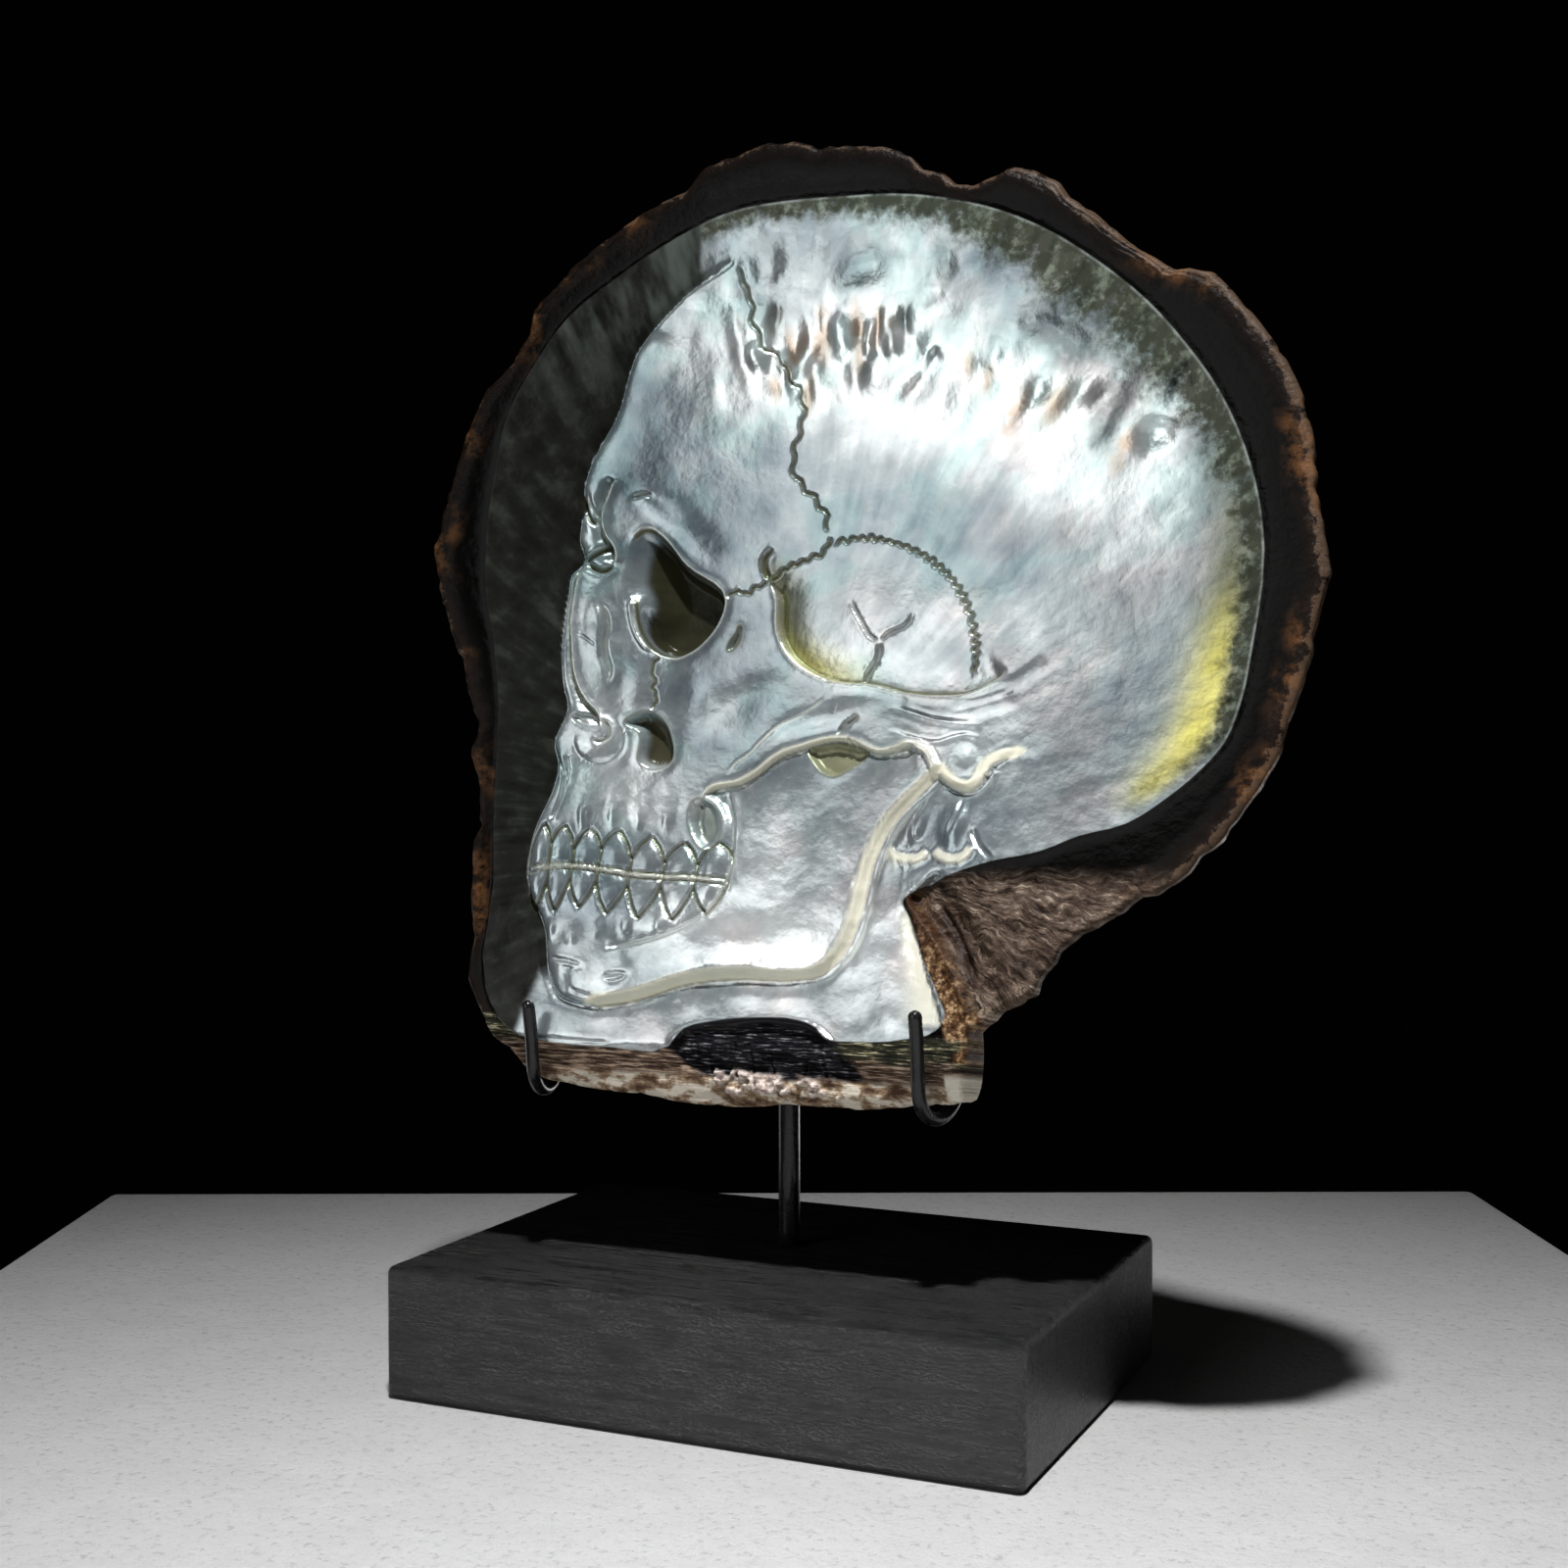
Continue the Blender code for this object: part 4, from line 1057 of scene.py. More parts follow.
def build_shell():
    """Front and back lattices, joined round the rim by rings that turn its edge."""
    coarse, fine = split_masks()
    square, loops, counts, number = lattice(coarse, fine)
    plain = outermost(np.zeros_like(coarse), True)
    back_square, back_loops, back_counts, back_number = lattice(plain, np.zeros_like(fine))

    front, rear = disc_to_shell(square, FRONT_INSET), disc_to_shell(back_square, BACK_INSET)
    height, _, marks = face(front)
    rear_height = back(rear)
    front_ring, rear_ring = border_ring(number), border_ring(back_number)
    top, low = height[front_ring], rear_height[rear_ring]
    _, angle = polar(front[front_ring], SHELL_CENTRE)
    ragged = 0.35 * noise(angle / 1.2, angle * 0.0, 81)
    rim = disc_to_shell(square[front_ring])
    outward = (rim - SHELL_CENTRE) / np.hypot(*(rim - SHELL_CENTRE).T)[:, None]
    points, heights = [front], [height]
    for inset, share in RIM_TURNS:
        inward = np.clip(inset + ragged, 0.0, None)
        points.append(rim - outward * inward[:, None])
        heights.append(top + (low - top) * share)
    flat = np.vstack([*points, rear])

    size, turns = len(front_ring), len(RIM_TURNS)
    rear_start = len(front) + turns * size
    turned = len(front) + np.arange(turns * size).reshape(turns, size)
    rings = [front_ring, *turned, rear_start + rear_ring]
    sides = [
        np.stack([a, b, np.roll(b, -1), np.roll(a, -1)], -1).ravel() for a, b in zip(rings[:-1], rings[1:])
    ]
    all_loops = np.concatenate([loops, *sides, flip(back_loops, back_counts) + rear_start])
    all_counts = np.concatenate([counts, np.full(size * len(sides), 4), back_counts])
    mesh = fill_mesh("shell", place(flat, np.concatenate([*heights, rear_height])), all_loops, all_counts)
    finish = np.zeros(len(all_counts), np.int32)
    finish[len(counts) + size * turns:] = 1
    mesh.polygons.foreach_set("material_index", finish)
    write_marks(mesh, marks, flat, front_ring)
    return mesh


def flip(loops, counts):
    """Each face's corners in the opposite order."""
    starts = np.concatenate([[0], np.cumsum(counts)[:-1]])
    ends = starts + counts - 1
    position = np.arange(len(loops))
    owner = np.repeat(np.arange(len(counts)), counts)
    return loops[ends[owner] - (position - starts[owner])]


def write_marks(mesh, marks, flat, ring):
    """Each mark as a number at every corner, with its rim value round the edge, and (u, v) as a map."""
    for name, values in marks.items():
        filled = np.full(len(flat), BACK_BORDER if name == "border" else 0.0, np.float32)
        known = np.concatenate([values, np.tile(values[ring], len(RIM_TURNS))])
        filled[: len(known)] = known
        mesh.attributes.new(name, "FLOAT", "POINT").data.foreach_set("value", filled)
    corner = np.empty(len(mesh.loops), np.int32)
    mesh.loops.foreach_get("vertex_index", corner)
    layer = mesh.uv_layers.new(name="shell")
    layer.data.foreach_set("uv", (flat[corner] / MAP_SPAN).astype(np.float32).ravel())


def tube(name, route, radii, sides=28):
    """A round bar: at each point of its route, a ring of that radius square to the heading there."""
    heading = np.gradient(route, axis=0)
    heading /= np.linalg.norm(heading, axis=1, keepdims=True)
    across = np.cross(heading, np.array([0.62, 0.55, -0.56]))
    across /= np.linalg.norm(across, axis=1, keepdims=True)
    third = np.cross(heading, across)
    turn = np.linspace(0.0, 2.0 * math.pi, sides, endpoint=False)
    ring = across[:, None] * np.cos(turn)[None, :, None] + third[:, None] * np.sin(turn)[None, :, None]
    spots = (route[:, None] + ring * radii[:, None, None]).reshape(-1, 3)
    i, j = np.meshgrid(np.arange(len(route) - 1), np.arange(sides), indexing="ij")
    a = i * sides + j
    b = i * sides + (j + 1) % sides
    quads = np.stack([a, b, b + sides, a + sides], -1).reshape(-1, 4)
    first = np.arange(sides)[::-1]
    last = (len(route) - 1) * sides + np.arange(sides)
    loops = np.concatenate([quads.ravel(), first, last])
    counts = np.concatenate([np.full(len(quads), 4), [sides, sides]])
    return fill_mesh(name, spots * MM, loops, counts)


def rounded_tip(route, radius, steps=6):
    """Adds a dome in front of a route's first point: radius times sine and cosine of a quarter turn."""
    heading = (route[1] - route[0]) / np.linalg.norm(route[1] - route[0])
    turn = np.radians(np.linspace(6.0, 78.0, steps))
    start = route[0] + heading * radius
    keep = route[1:][np.linalg.norm(route[1:] - route[0], axis=1) > radius * 1.05]
    spots = np.vstack([route[0] + heading * (radius * (1.0 - np.cos(turn)))[:, None], start, keep])
    radii = np.concatenate([radius * np.sin(turn), np.full(len(keep) + 1, radius)])
    return spots, radii


def rod_route():
    """Up from the block, then leaning back along the outside of the shell."""
    base_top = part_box("base")[1].z / MM
    straight = [(0.0, ROD_Y, z) for z in (base_top + GAP, 45.0, 65.0, ROD_STRAIGHT_TOP)]
    rest = []
    for v in np.linspace(*ROD_REST, 6):
        near = np.array([[0.0, v - 1.0], [0.0, v + 1.0]])
        depth = LIP_THICKNESS + BACK_DEPTH * (1.0 - spread(near) ** 2) ** BACK_POWER
        below, above = place(near, -depth) / MM
        along = (above - below) / np.linalg.norm(above - below)
        outward = np.array([0.0, along[2], -along[1]])
        rest.append(tuple((below + above) / 2.0 + outward * (ROD_RADIUS + GAP)))
    return curve(straight + rest, steps=8)


def hook_route(x, rise, swing):
    """Down in front of the hinge, round under it, up behind it and in to the rod."""
    reach = HOOK_REACH / 2.0
    middle = HOOK_FRONT_Y + reach
    tip = HOOK_CENTRE_Z + rise
    front = [
        (x, HOOK_FRONT_Y - HOOK_TIP_LEAN, tip),
        (x, HOOK_FRONT_Y - HOOK_TIP_LEAN * 0.75, tip - 1.8),
        (x, HOOK_FRONT_Y - HOOK_TIP_LEAN * 0.25, HOOK_CENTRE_Z + rise * 0.4),
    ]
    turn = []
    for a in np.radians(np.linspace(0.0, HOOK_TURN, 11)):
        across = x + swing * (1.0 - math.cos(a)) / 2.0
        turn.append((across, middle - reach * math.cos(a), HOOK_CENTRE_Z - HOOK_DROP * math.sin(a)))
    inward = math.copysign(1.0, x)
    corner = (x + swing - inward * 0.6, middle + reach + 0.9, ARM_Z - 1.6)
    start = np.array([x + swing - inward * 2.4, middle + reach + 2.4, ARM_Z])
    axis = np.array([0.0, ROD_Y, ARM_Z])
    arm = [tuple(start + (axis - start) * share) for share in (0.0, 0.4, 0.8, 0.93, 0.985)]
    return curve(front + turn + [corner] + arm, steps=6)


def build_hook(name):
    """A bent wire with a domed tip, thickened into a weld where it meets the rod."""
    route, radii = rounded_tip(hook_route(HOOK_X[name], HOOK_TIP_RISE[name], HOOK_SWING[name]), WIRE_RADIUS)
    to_rod = np.hypot(route[:, 0], route[:, 1] - ROD_Y)
    weld = 0.7 * bell(np.clip(to_rod - ROD_RADIUS, 0.0, None), 1.1) * (to_rod < 12.0)
    return tube(name, route, radii + weld)


def build_block(low, high, radius, cells):
    """A box with rounded edges: each point of its grid is drawn to one radius from an inner box."""
    low, high = np.array(low) / MM, np.array(high) / MM
    spots, loops, count = [], [], 0
    for axis in range(3):
        for end in (0, 1):
            across = [k for k in range(3) if k != axis]
            lines = [stretched(low[k], high[k], radius, cells[k]) for k in across]
            a, b = np.meshgrid(*lines, indexing="ij")
            grid = np.zeros((*a.shape, 3))
            grid[..., across[0]], grid[..., across[1]] = a, b
            grid[..., axis] = (low, high)[end][axis]
            spots.append(grid.reshape(-1, 3))
            i, j = np.meshgrid(np.arange(a.shape[0] - 1), np.arange(a.shape[1] - 1), indexing="ij")
            wide = a.shape[1]
            first = count + i * wide + j
            quad = np.stack([first, first + wide, first + wide + 1, first + 1], -1).reshape(-1, 4)
            outward = (axis != 1) == (end == 1)
            loops.append(quad if outward else quad[:, ::-1])
            count += a.size
    spots = np.vstack(spots)
    _, first, back_to = np.unique(np.round(spots, 4), axis=0, return_index=True, return_inverse=True)
    core = np.clip(spots[first], low + radius, high - radius)
    out = spots[first] - core
    spots = core + out / np.maximum(np.linalg.norm(out, axis=1, keepdims=True), 1e-9) * radius
    faces = back_to.reshape(-1)[np.vstack(loops)]
    return spots, faces


def stretched(low, high, radius, cells):
    """Places along an edge: close together over each rounding, then even between."""
    turn = radius * (1.0 - np.cos(np.radians(np.linspace(0.0, 90.0, 7)[:-1])))
    between = np.linspace(low + radius, high - radius, cells)
    return np.concatenate([low + turn, between, (high - turn)[::-1]])


class Socket:
    """A number in a shader. Arithmetic on it adds Math nodes."""

    def __init__(self, board, output):
        self.board = board
        self.output = output

    def maths(self, operation, first, second):
        """One Math node on two numbers, either of which may be a link."""
        node = self.board.node("ShaderNodeMath", {"operation": operation}, {0: first, 1: second})
        return Socket(self.board, node.outputs[0])

    def __add__(self, other):
        return self.maths("ADD", self, other)

    def __radd__(self, other):
        return self.maths("ADD", other, self)

    def __sub__(self, other):
        return self.maths("SUBTRACT", self, other)

    def __rsub__(self, other):
        return self.maths("SUBTRACT", other, self)

    def __mul__(self, other):
        return self.maths("MULTIPLY", self, other)


class Board:
    """One material's node tree, with its shader and output already joined."""

    def __init__(self, name):
        self.material = bpy.data.materials.new(name)
        self.material.use_nodes = True
        self.tree = self.material.node_tree
        self.shader = self.tree.nodes["Principled BSDF"]

    def put(self, socket, value):
        """Links a value to a socket or sets it there, with full alpha where a colour has none."""
        if isinstance(value, (Socket, bpy.types.NodeSocket)):
            self.tree.links.new(getattr(value, "output", value), socket)
        elif hasattr(socket.default_value, "__len__") and len(socket.default_value) > len(value):
            socket.default_value = (*value, 1.0)
        else:
            socket.default_value = value

    def node(self, kind, settings=None, values=None):
        """Any node: its settings first, then its sockets by name or number."""
        node = self.tree.nodes.new(kind)
        for name, value in (settings or {}).items():
            if name == "stops":
                ramp = node.color_ramp
                while len(ramp.elements) < len(value):
                    ramp.elements.new(0.5)
                for element, (place_at, colour) in zip(ramp.elements, value):
                    element.position = place_at
                    element.color = (*colour, 1.0)
            else:
                setattr(node, name, value)
        for name, value in (values or {}).items():
            self.put(node.inputs[name], value)
        return node

    def finish(self, shader=None, **values):
        """Values for a shader's sockets, the first shader unless another is named."""
        for name, value in values.items():
            self.put((shader or self.shader).inputs[name.replace("_", " ")], value)
        return self.material

    def lay_over(self, share, **values):
        """A second shader over the first, as much of it as its share."""
        upper = self.tree.nodes.new("ShaderNodeBsdfPrincipled")
        self.finish(upper, **values)
        mixed = {0: share, 1: self.shader.outputs[0], 2: upper.outputs[0]}
        joined = self.node("ShaderNodeMixShader", values=mixed)
        self.tree.links.new(joined.outputs[0], self.tree.nodes["Material Output"].inputs["Surface"])

    def mark(self, name):
        """One of the numbers that the mesh carries at its corners."""
        return Socket(self, self.node("ShaderNodeAttribute", {"attribute_name": name}).outputs["Fac"])

    def axes(self, vector):
        """A vector's three numbers."""
        node = self.node("ShaderNodeSeparateXYZ", values={0: vector})
        return [Socket(self, node.outputs[k]) for k in range(3)]

    def join(self, x, y, z):
        """A vector from three numbers."""
        return self.node("ShaderNodeCombineXYZ", values={0: x, 1: y, 2: z}).outputs[0]

    def vector(self, operation, *values):
        """One Vector Math node, which gives a number only for a length."""
        node = self.node("ShaderNodeVectorMath", {"operation": operation}, dict(enumerate(values)))
        return node.outputs["Value" if operation == "LENGTH" else "Vector"]

    def away(self, u, v, centre):
        """Distance and direction from a centre on the shell."""
        rel = self.join(u - centre[0], v - centre[1], 0.0)
        return Socket(self, self.vector("LENGTH", rel)), self.vector("NORMALIZE", rel)

    def shell_map(self):
        """The shell's own u and v in millimetres, apart and as one flat vector."""
        x, y, _ = self.axes(self.node("ShaderNodeUVMap", {"uv_map": "shell"}).outputs[0])
        u, v = x * MAP_SPAN, y * MAP_SPAN
        return u, v, self.join(u, v, 0.0)

    def on_object(self):
        """Coordinates on the piece itself."""
        return self.node("ShaderNodeTexCoord").outputs["Object"]

    def speckle(self, vector, scale, detail=3.0, roughness=0.55, stretch=None, shift=None):
        """Noise from 0 to 1 over coordinates, which are stretched or shifted first where asked."""
        for operation, change in (("MULTIPLY", stretch), ("ADD", shift)):
            if change:
                vector = self.vector(operation, vector, change)
        values = {"Vector": vector, "Scale": scale, "Detail": detail, "Roughness": roughness}
        return Socket(self, self.node("ShaderNodeTexNoise", values=values).outputs["Fac"])

    def step(self, value, low, high):
        """0 at low, 1 at high, eased between. High may be the smaller."""
        values = {"Value": value, "From Min": low, "From Max": high}
        node = self.node("ShaderNodeMapRange", {"interpolation_type": "SMOOTHSTEP"}, values)
        return Socket(self, node.outputs["Result"])

    def mix(self, share, first, second, blend="MIX"):
        """The first colour, with as much of the second over it as the share."""
        settings = {"data_type": "RGBA", "blend_type": blend, "clamp_factor": True}
        return self.node("ShaderNodeMix", settings, {0: share, 6: first, 7: second}).outputs[2]

    def ramp(self, value, *stops):
        """Colours by a number, from stops as (number, colour)."""
        return self.node("ShaderNodeValToRGB", {"stops": stops}, {0: value}).outputs[0]

    def bump(self, height, distance, strength=1.0):
        """A normal tipped by a height, whose full rise is the distance in metres."""
        values = {"Height": height, "Distance": distance, "Strength": strength}
        return self.node("ShaderNodeBump", values=values).outputs[0]


class FaceBoard(Board):
    """The hollow face's board, with the coordinates, marks and noises that its layers share."""

    def __init__(self, name):
        super().__init__(name)
        self.u, self.v, self.flat = self.shell_map()
        self.border, self.edge, self.olive = self.mark("border"), self.mark("edge"), self.mark("olive")
        self.reach, heading = self.away(self.u, self.v, FAN_CENTRE.tolist())
        self.streak = self.speckle(self.fan(heading, 5.0, 0.02), 1.6, 4.0)
        self.hair = self.speckle(self.fan(heading, 17.0, 0.05), 1.6, 2.5)
        self.mottle = self.speckle(self.flat, 0.16, 3.0, 0.5)
        self.satin = self.speckle(self.flat, 0.5)
        self.ragged = self.speckle(self.flat, 0.25, 5.0, 0.7)
        self.layer = self.speckle(self.flat, 2.2, 5.0, 0.75, stretch=(0.08, 1.0, 1.0))

    def fan(self, heading, turns, run):
        """Coordinates that run out from the fan's centre: heading times turns, distance times run."""
        spun = self.vector("MULTIPLY", heading, (turns, turns, 0.0))
        return self.vector("ADD", spun, self.join(0.0, 0.0, self.reach * run))


def pearl_tone(board, tones):
    """Silver pearl in fans and clouds, with painted shade and highlight on its folds and edge, a yellow
    band and a dark margin.
    """
    u, v, flat, hair, streak = board.u, board.v, board.flat, board.hair, board.streak
    satin, mottle, step, mix = board.satin, board.mottle, board.step, board.mix
    fanned = step(board.reach, 18.0, 48.0) * step(u + v, 85.0, 128.0)
    clouds = board.speckle(flat, 0.035) - 0.5 + (mottle - 0.5) * 0.45
    streaks = ((streak - 0.5) * 0.5 + (hair - 0.5) * 0.45) * fanned + (satin - 0.5) * 0.2
    # Lightness from the light mark: partly the pearl's own tone, partly painted highlight, reflection and
    # shade.
    pearl = board.ramp(
        board.mark("light") + clouds + streaks,
        (0.05, tones.pearl_deep),
        (0.35, tones.pearl_blue),
        (0.65, tones.pearl_silver),
        (1.0, tones.pearl_white),
    )
    blush = step(board.speckle(flat, 0.06, 2.0), 0.46, 0.62) * step(u - v * 0.5, -70.0, -10.0)
    pearl = mix(blush * 0.5, pearl, tones.pearl_rose, "MULTIPLY")
    teal = step(board.speckle(flat, 0.09, 2.0, shift=(37.0, 11.0, 5.0)), 0.48, 0.64)
    pearl = mix(teal * step(v - u * 0.5, 20.0, 90.0) * 0.6, pearl, tones.pearl_teal, "MULTIPLY")
    # Painted shade in the fold hollows.
    pearl = mix(board.mark("hollow") * 0.55 * step(satin, 0.25, 0.55), pearl, (0.08, 0.10, 0.11))
    # Painted shade, grey or tan, on the folds' right flanks, and painted highlight on their left flanks.
    flank = board.mark("flank")
    stain = step(board.speckle(flat, 0.11, 2.0), 0.40, 0.54)
    shade = mix(stain, (0.15, 0.16, 0.16), (0.55, 0.36, 0.23))
    pearl = mix(step(flank + satin * 0.3, 0.2, 1.0) * 0.7, pearl, shade)
    pearl = mix(step(flank, -0.1, -0.6) * 0.6, pearl, (1.0, 1.0, 0.98))
    pearl = mix(board.mark("crease") * step(mottle, 0.28, 0.5) * 0.75, pearl, (0.52, 0.34, 0.21))
    yellow = board.mark("yellow") * step(v, 136.0, 80.0)
    bile = mix(step(v + hair * 20.0, 84.0, 104.0), tones.yellow, (0.12, 0.12, 0.035))
    pearl = mix(yellow * (0.5 + hair * 0.8), pearl, bile)
    crystal = board.speckle(flat, 0.45, 4.0, 0.7, shift=(9.0, 5.0, 2.0))
    margin = step(board.mark("margin") * 0.8 + hair * 0.7 + streak * 0.5 - crystal * 0.9, 0.28, 0.9)
    glints = mix(step(crystal + hair * 0.8, 0.88, 1.16), (0.012, 0.015, 0.010), (0.12, 0.145, 0.115))
    pearl = mix(margin * 0.97, pearl, glints)
    pearl = mix(board.olive, pearl, tones.olive)
    pearl = mix(board.mark("cream"), pearl, tones.cream)
    # A painted highlight along the pearl's edge at the top and right.
    painted_edge_highlight = step(board.border, 0.6, 0.1) * step(u + (v - 100.0) * 0.3, -14.0, 22.0)
    return mix(painted_edge_highlight * step(hair, 0.3, 0.6) * 0.6, pearl, (0.30, 0.34, 0.34)), margin


def ground_tone(board, tones):
    """Dark outer layer left in front of the face, greyer at the top, and khaki where it is painted as shade
    in the deep pits.
    """
    step, mix = board.step, board.mix
    ground = board.ramp(
        board.speckle(board.flat, 0.22, 5.0, 0.6) * 0.6 + board.hair * 0.5,
        (0.36, (0.0065, 0.0070, 0.0055)),
        (0.58, (0.0145, 0.0155, 0.013)),
        (0.80, (0.040, 0.045, 0.038)),
    )
    upper = step(board.v, 128.0, 160.0) * step(board.hair * 0.6 + board.streak * 0.6, 0.5, 0.72)
    ground = mix(upper * 0.6, ground, (0.13, 0.16, 0.14))
    # The pits' khaki mottle is painted shade.
    pits = step(board.u, -35.0, -33.0) * step(board.v, 116.0, 110.0)
    ground = mix(pits * 0.9, ground, mix(board.mottle, (0.004, 0.004, 0.002), (0.045, 0.045, 0.024)))
    return mix(board.olive * 0.8, ground, tones.olive)


def lip_tone(board, tones):
    """Black rolled lip, brown and amber where it thins out, with a light line of breaks at its edge."""
    u, edge, ragged, step = board.u, board.edge, board.ragged, board.step
    lip = board.ramp(
        step(edge, 6.0, 0.3) * 0.6 + step(u, -40.0, 90.0) * 0.12 + ragged * 0.7,
        (0.50, (0.0014, 0.0013, 0.0012)),
        (0.84, (0.006, 0.004, 0.003)),
        (0.98, (0.013, 0.008, 0.006)),
        (1.14, (0.07, 0.045, 0.03)),
    )
    sides = step(u, -24.0, -40.0) + step(u, 60.0, 74.0)
    amber = step(board.speckle(board.flat, 0.05, 2.0), 0.48, 0.62) * step(edge, 6.5, 1.5) * sides
    lip = board.mix(amber * step(ragged, 0.4, 0.62) * 0.35, lip, tones.amber)
    return board.mix(step(edge, 0.8, 0.1) * step(ragged, 0.47, 0.6), lip, (0.16, 0.105, 0.06))


def notch_tone(board):
    """Brown layer edges in a fan below the pearl's corner, paler low down, with a rusty end strip."""
    u, v, mottle, step, mix = board.u, board.v, board.mottle, board.step, board.mix
    _, heading = board.away(u + mottle * 5.0, v + mottle * 5.0, (22.0, 46.0))
    lines = board.vector("MULTIPLY", heading, (46.0, 46.0, 0.0))
    lines = board.vector("ADD", lines, board.join(0.0, 0.0, u * 0.2))
    fibre = board.speckle(lines, 1.0, 6.0, 0.75)
    leaf = board.ramp(
        fibre * 0.8 + board.satin * 0.2,
        (0.40, (0.012, 0.007, 0.005)),
        (0.50, (0.075, 0.050, 0.037)),
        (0.57, (0.15, 0.11, 0.083)),
        (0.66, (0.50, 0.41, 0.33)),
    )
    shown = step(v + mottle * 12.0, 27.0, 20.0) * step(fibre, 0.42, 0.56)
    leaf = mix(shown * 0.8, leaf, (0.60, 0.49, 0.37))
    veins = board.speckle(board.flat, 0.55, 5.0, 0.75, shift=(3.0, 8.0, 1.0))
    rusty = ((0.40, (0.018, 0.008, 0.004)), (0.52, (0.12, 0.06, 0.026)), (0.64, (0.46, 0.32, 0.18)))
    rust = board.ramp(veins, *rusty)
    rust = mix(step(v + board.ragged * 6.0, 27.0, 37.0) * 0.8, rust, (0.03, 0.012, 0.006))
    strip = step(u + (v - 16.0) * 0.62, 47.5, 45.0) + step(v, 18.0, 15.0)
    return mix(board.olive, mix(strip, leaf, rust), (0.018, 0.008, 0.005))


def hinge_tone(board):
    """Level layers of the hinge plate: dark, then brown, then tan along the edge, and a chalky end."""
    u, v, ragged, layer, step, mix = board.u, board.v, board.ragged, board.layer, board.step, board.mix
    dark = ((0.42, (0.004, 0.005, 0.003)), (0.54, (0.030, 0.030, 0.016)), (0.63, (0.50, 0.45, 0.29)))
    brown = ((0.40, (0.015, 0.009, 0.006)), (0.50, (0.12, 0.075, 0.05)), (0.59, (0.50, 0.37, 0.27)))
    tan = ((0.40, (0.10, 0.055, 0.035)), (0.49, (0.42, 0.29, 0.18)), (0.55, (0.95, 0.86, 0.72)))
    patch = board.speckle(board.flat, 0.3, 4.0, 0.65, stretch=(0.5, 1.0, 1.0))
    plate = mix(step(v + patch * 5.0, 12.4, 10.6), board.ramp(layer, *dark), board.ramp(layer, *brown))
    pale = step(v + layer * 2.5 + patch * 3.0 - u * 0.02, 8.5, 7.0)
    plate = mix(pale * 0.95, plate, board.ramp(patch, *tan))
    corner = step(u + ragged, 40.6, 41.2) * step(v + ragged * 2.0, 9.2, 8.2)
    return mix(corner, plate, mix(step(ragged, 0.4, 0.6), (0.75, 0.64, 0.47), (1.0, 0.94, 0.80)))


def pearl_finish(tones):
    """The hollow face: lip, notch, hinge and sockets in one shader, and the pearl laid over it."""
    board = FaceBoard("pearl face")
    u, v, flat, border, edge, step = board.u, board.v, board.flat, board.border, board.edge, board.step
    notch = board.mark("notch")
    hinge = step(v, 14.5, 12.5) * step(border, 0.1, -0.4) * step(u - v * 1.2, 30.0, 27.0)
    hinge = step(hinge + step(v, 10.2, 9.2), 0.0, 1.0)
    wet = board.speckle(flat, 2.6, 4.0, 0.7, stretch=(0.1, 1.0, 1.0))
    black = ((0.50, (0.003, 0.003, 0.004)), (0.58, (0.03, 0.03, 0.035)), (0.66, (0.35, 0.35, 0.38)))
    band = step(border, -2.2, -0.9) * step(v, 8.4, 10.0) * step(v, 17.0, 15.5)
    band = band * step(u, -14.0, -12.0) * step(u, 22.0, 20.0)
    crust = ((0.35, (0.40, 0.26, 0.20)), (0.58, (0.95, 0.84, 0.78)))
    within = step(border, -0.15, 0.15)
    base = lip_tone(board, tones)
    layers = (
        (notch * 0.9, notch_tone(board)),
        (hinge, hinge_tone(board)),
        (board.mark("ligament"), board.ramp(wet, *black)),
        (band, (0.005, 0.005, 0.006)),
        (board.mark("crust"), board.ramp(board.speckle(flat, 1.1), *crust)),
        (within, ground_tone(board, tones)),
    )
    for share, layer in layers:
        base = board.mix(share, base, layer)
    skin = board.speckle(flat, 0.9, 5.0, 0.65) * step(edge, 7.0, 1.0) * 0.6 + board.satin * 0.3
    skin = skin + hinge * board.layer * 2.0 + notch * board.ragged * 2.0
    board.finish(
        Base_Color=base,
        Roughness=0.16 + step(edge, 9.0, 2.0) * 0.14 + notch * 0.25 + hinge * 0.25,
        Normal=board.bump(skin, 0.0005, 0.8),
        Specular_IOR_Level=0.09,
    )
    pearl, margin = pearl_tone(board, tones)
    olive, cream = board.olive, board.mark("cream")
    # Where the dark mark is high the dark ground shows: the real outer layer in front of the face, and
    # painted shade in the pits.
    board.lay_over(
        within * step(board.mark("dark"), 0.95, 0.3),
        Base_Color=pearl,
        Roughness=0.17 + board.satin * 0.14 + cream * 0.1 + olive * 0.2,
        Metallic=(1.0 - cream * 0.8) * (1.0 - olive * 0.8) * 0.7,
        Normal=board.bump(board.satin * 0.25 + board.mottle * 0.6, 0.0007, 0.55),
        Coat_Weight=0.6 - olive * 0.3 - margin * 0.35,
        Coat_Roughness=0.07,
        Coat_IOR=1.5,
        IOR=1.55,
        Thin_Film_Thickness=430.0,
        Thin_Film_IOR=1.38,
    )
    return board.material


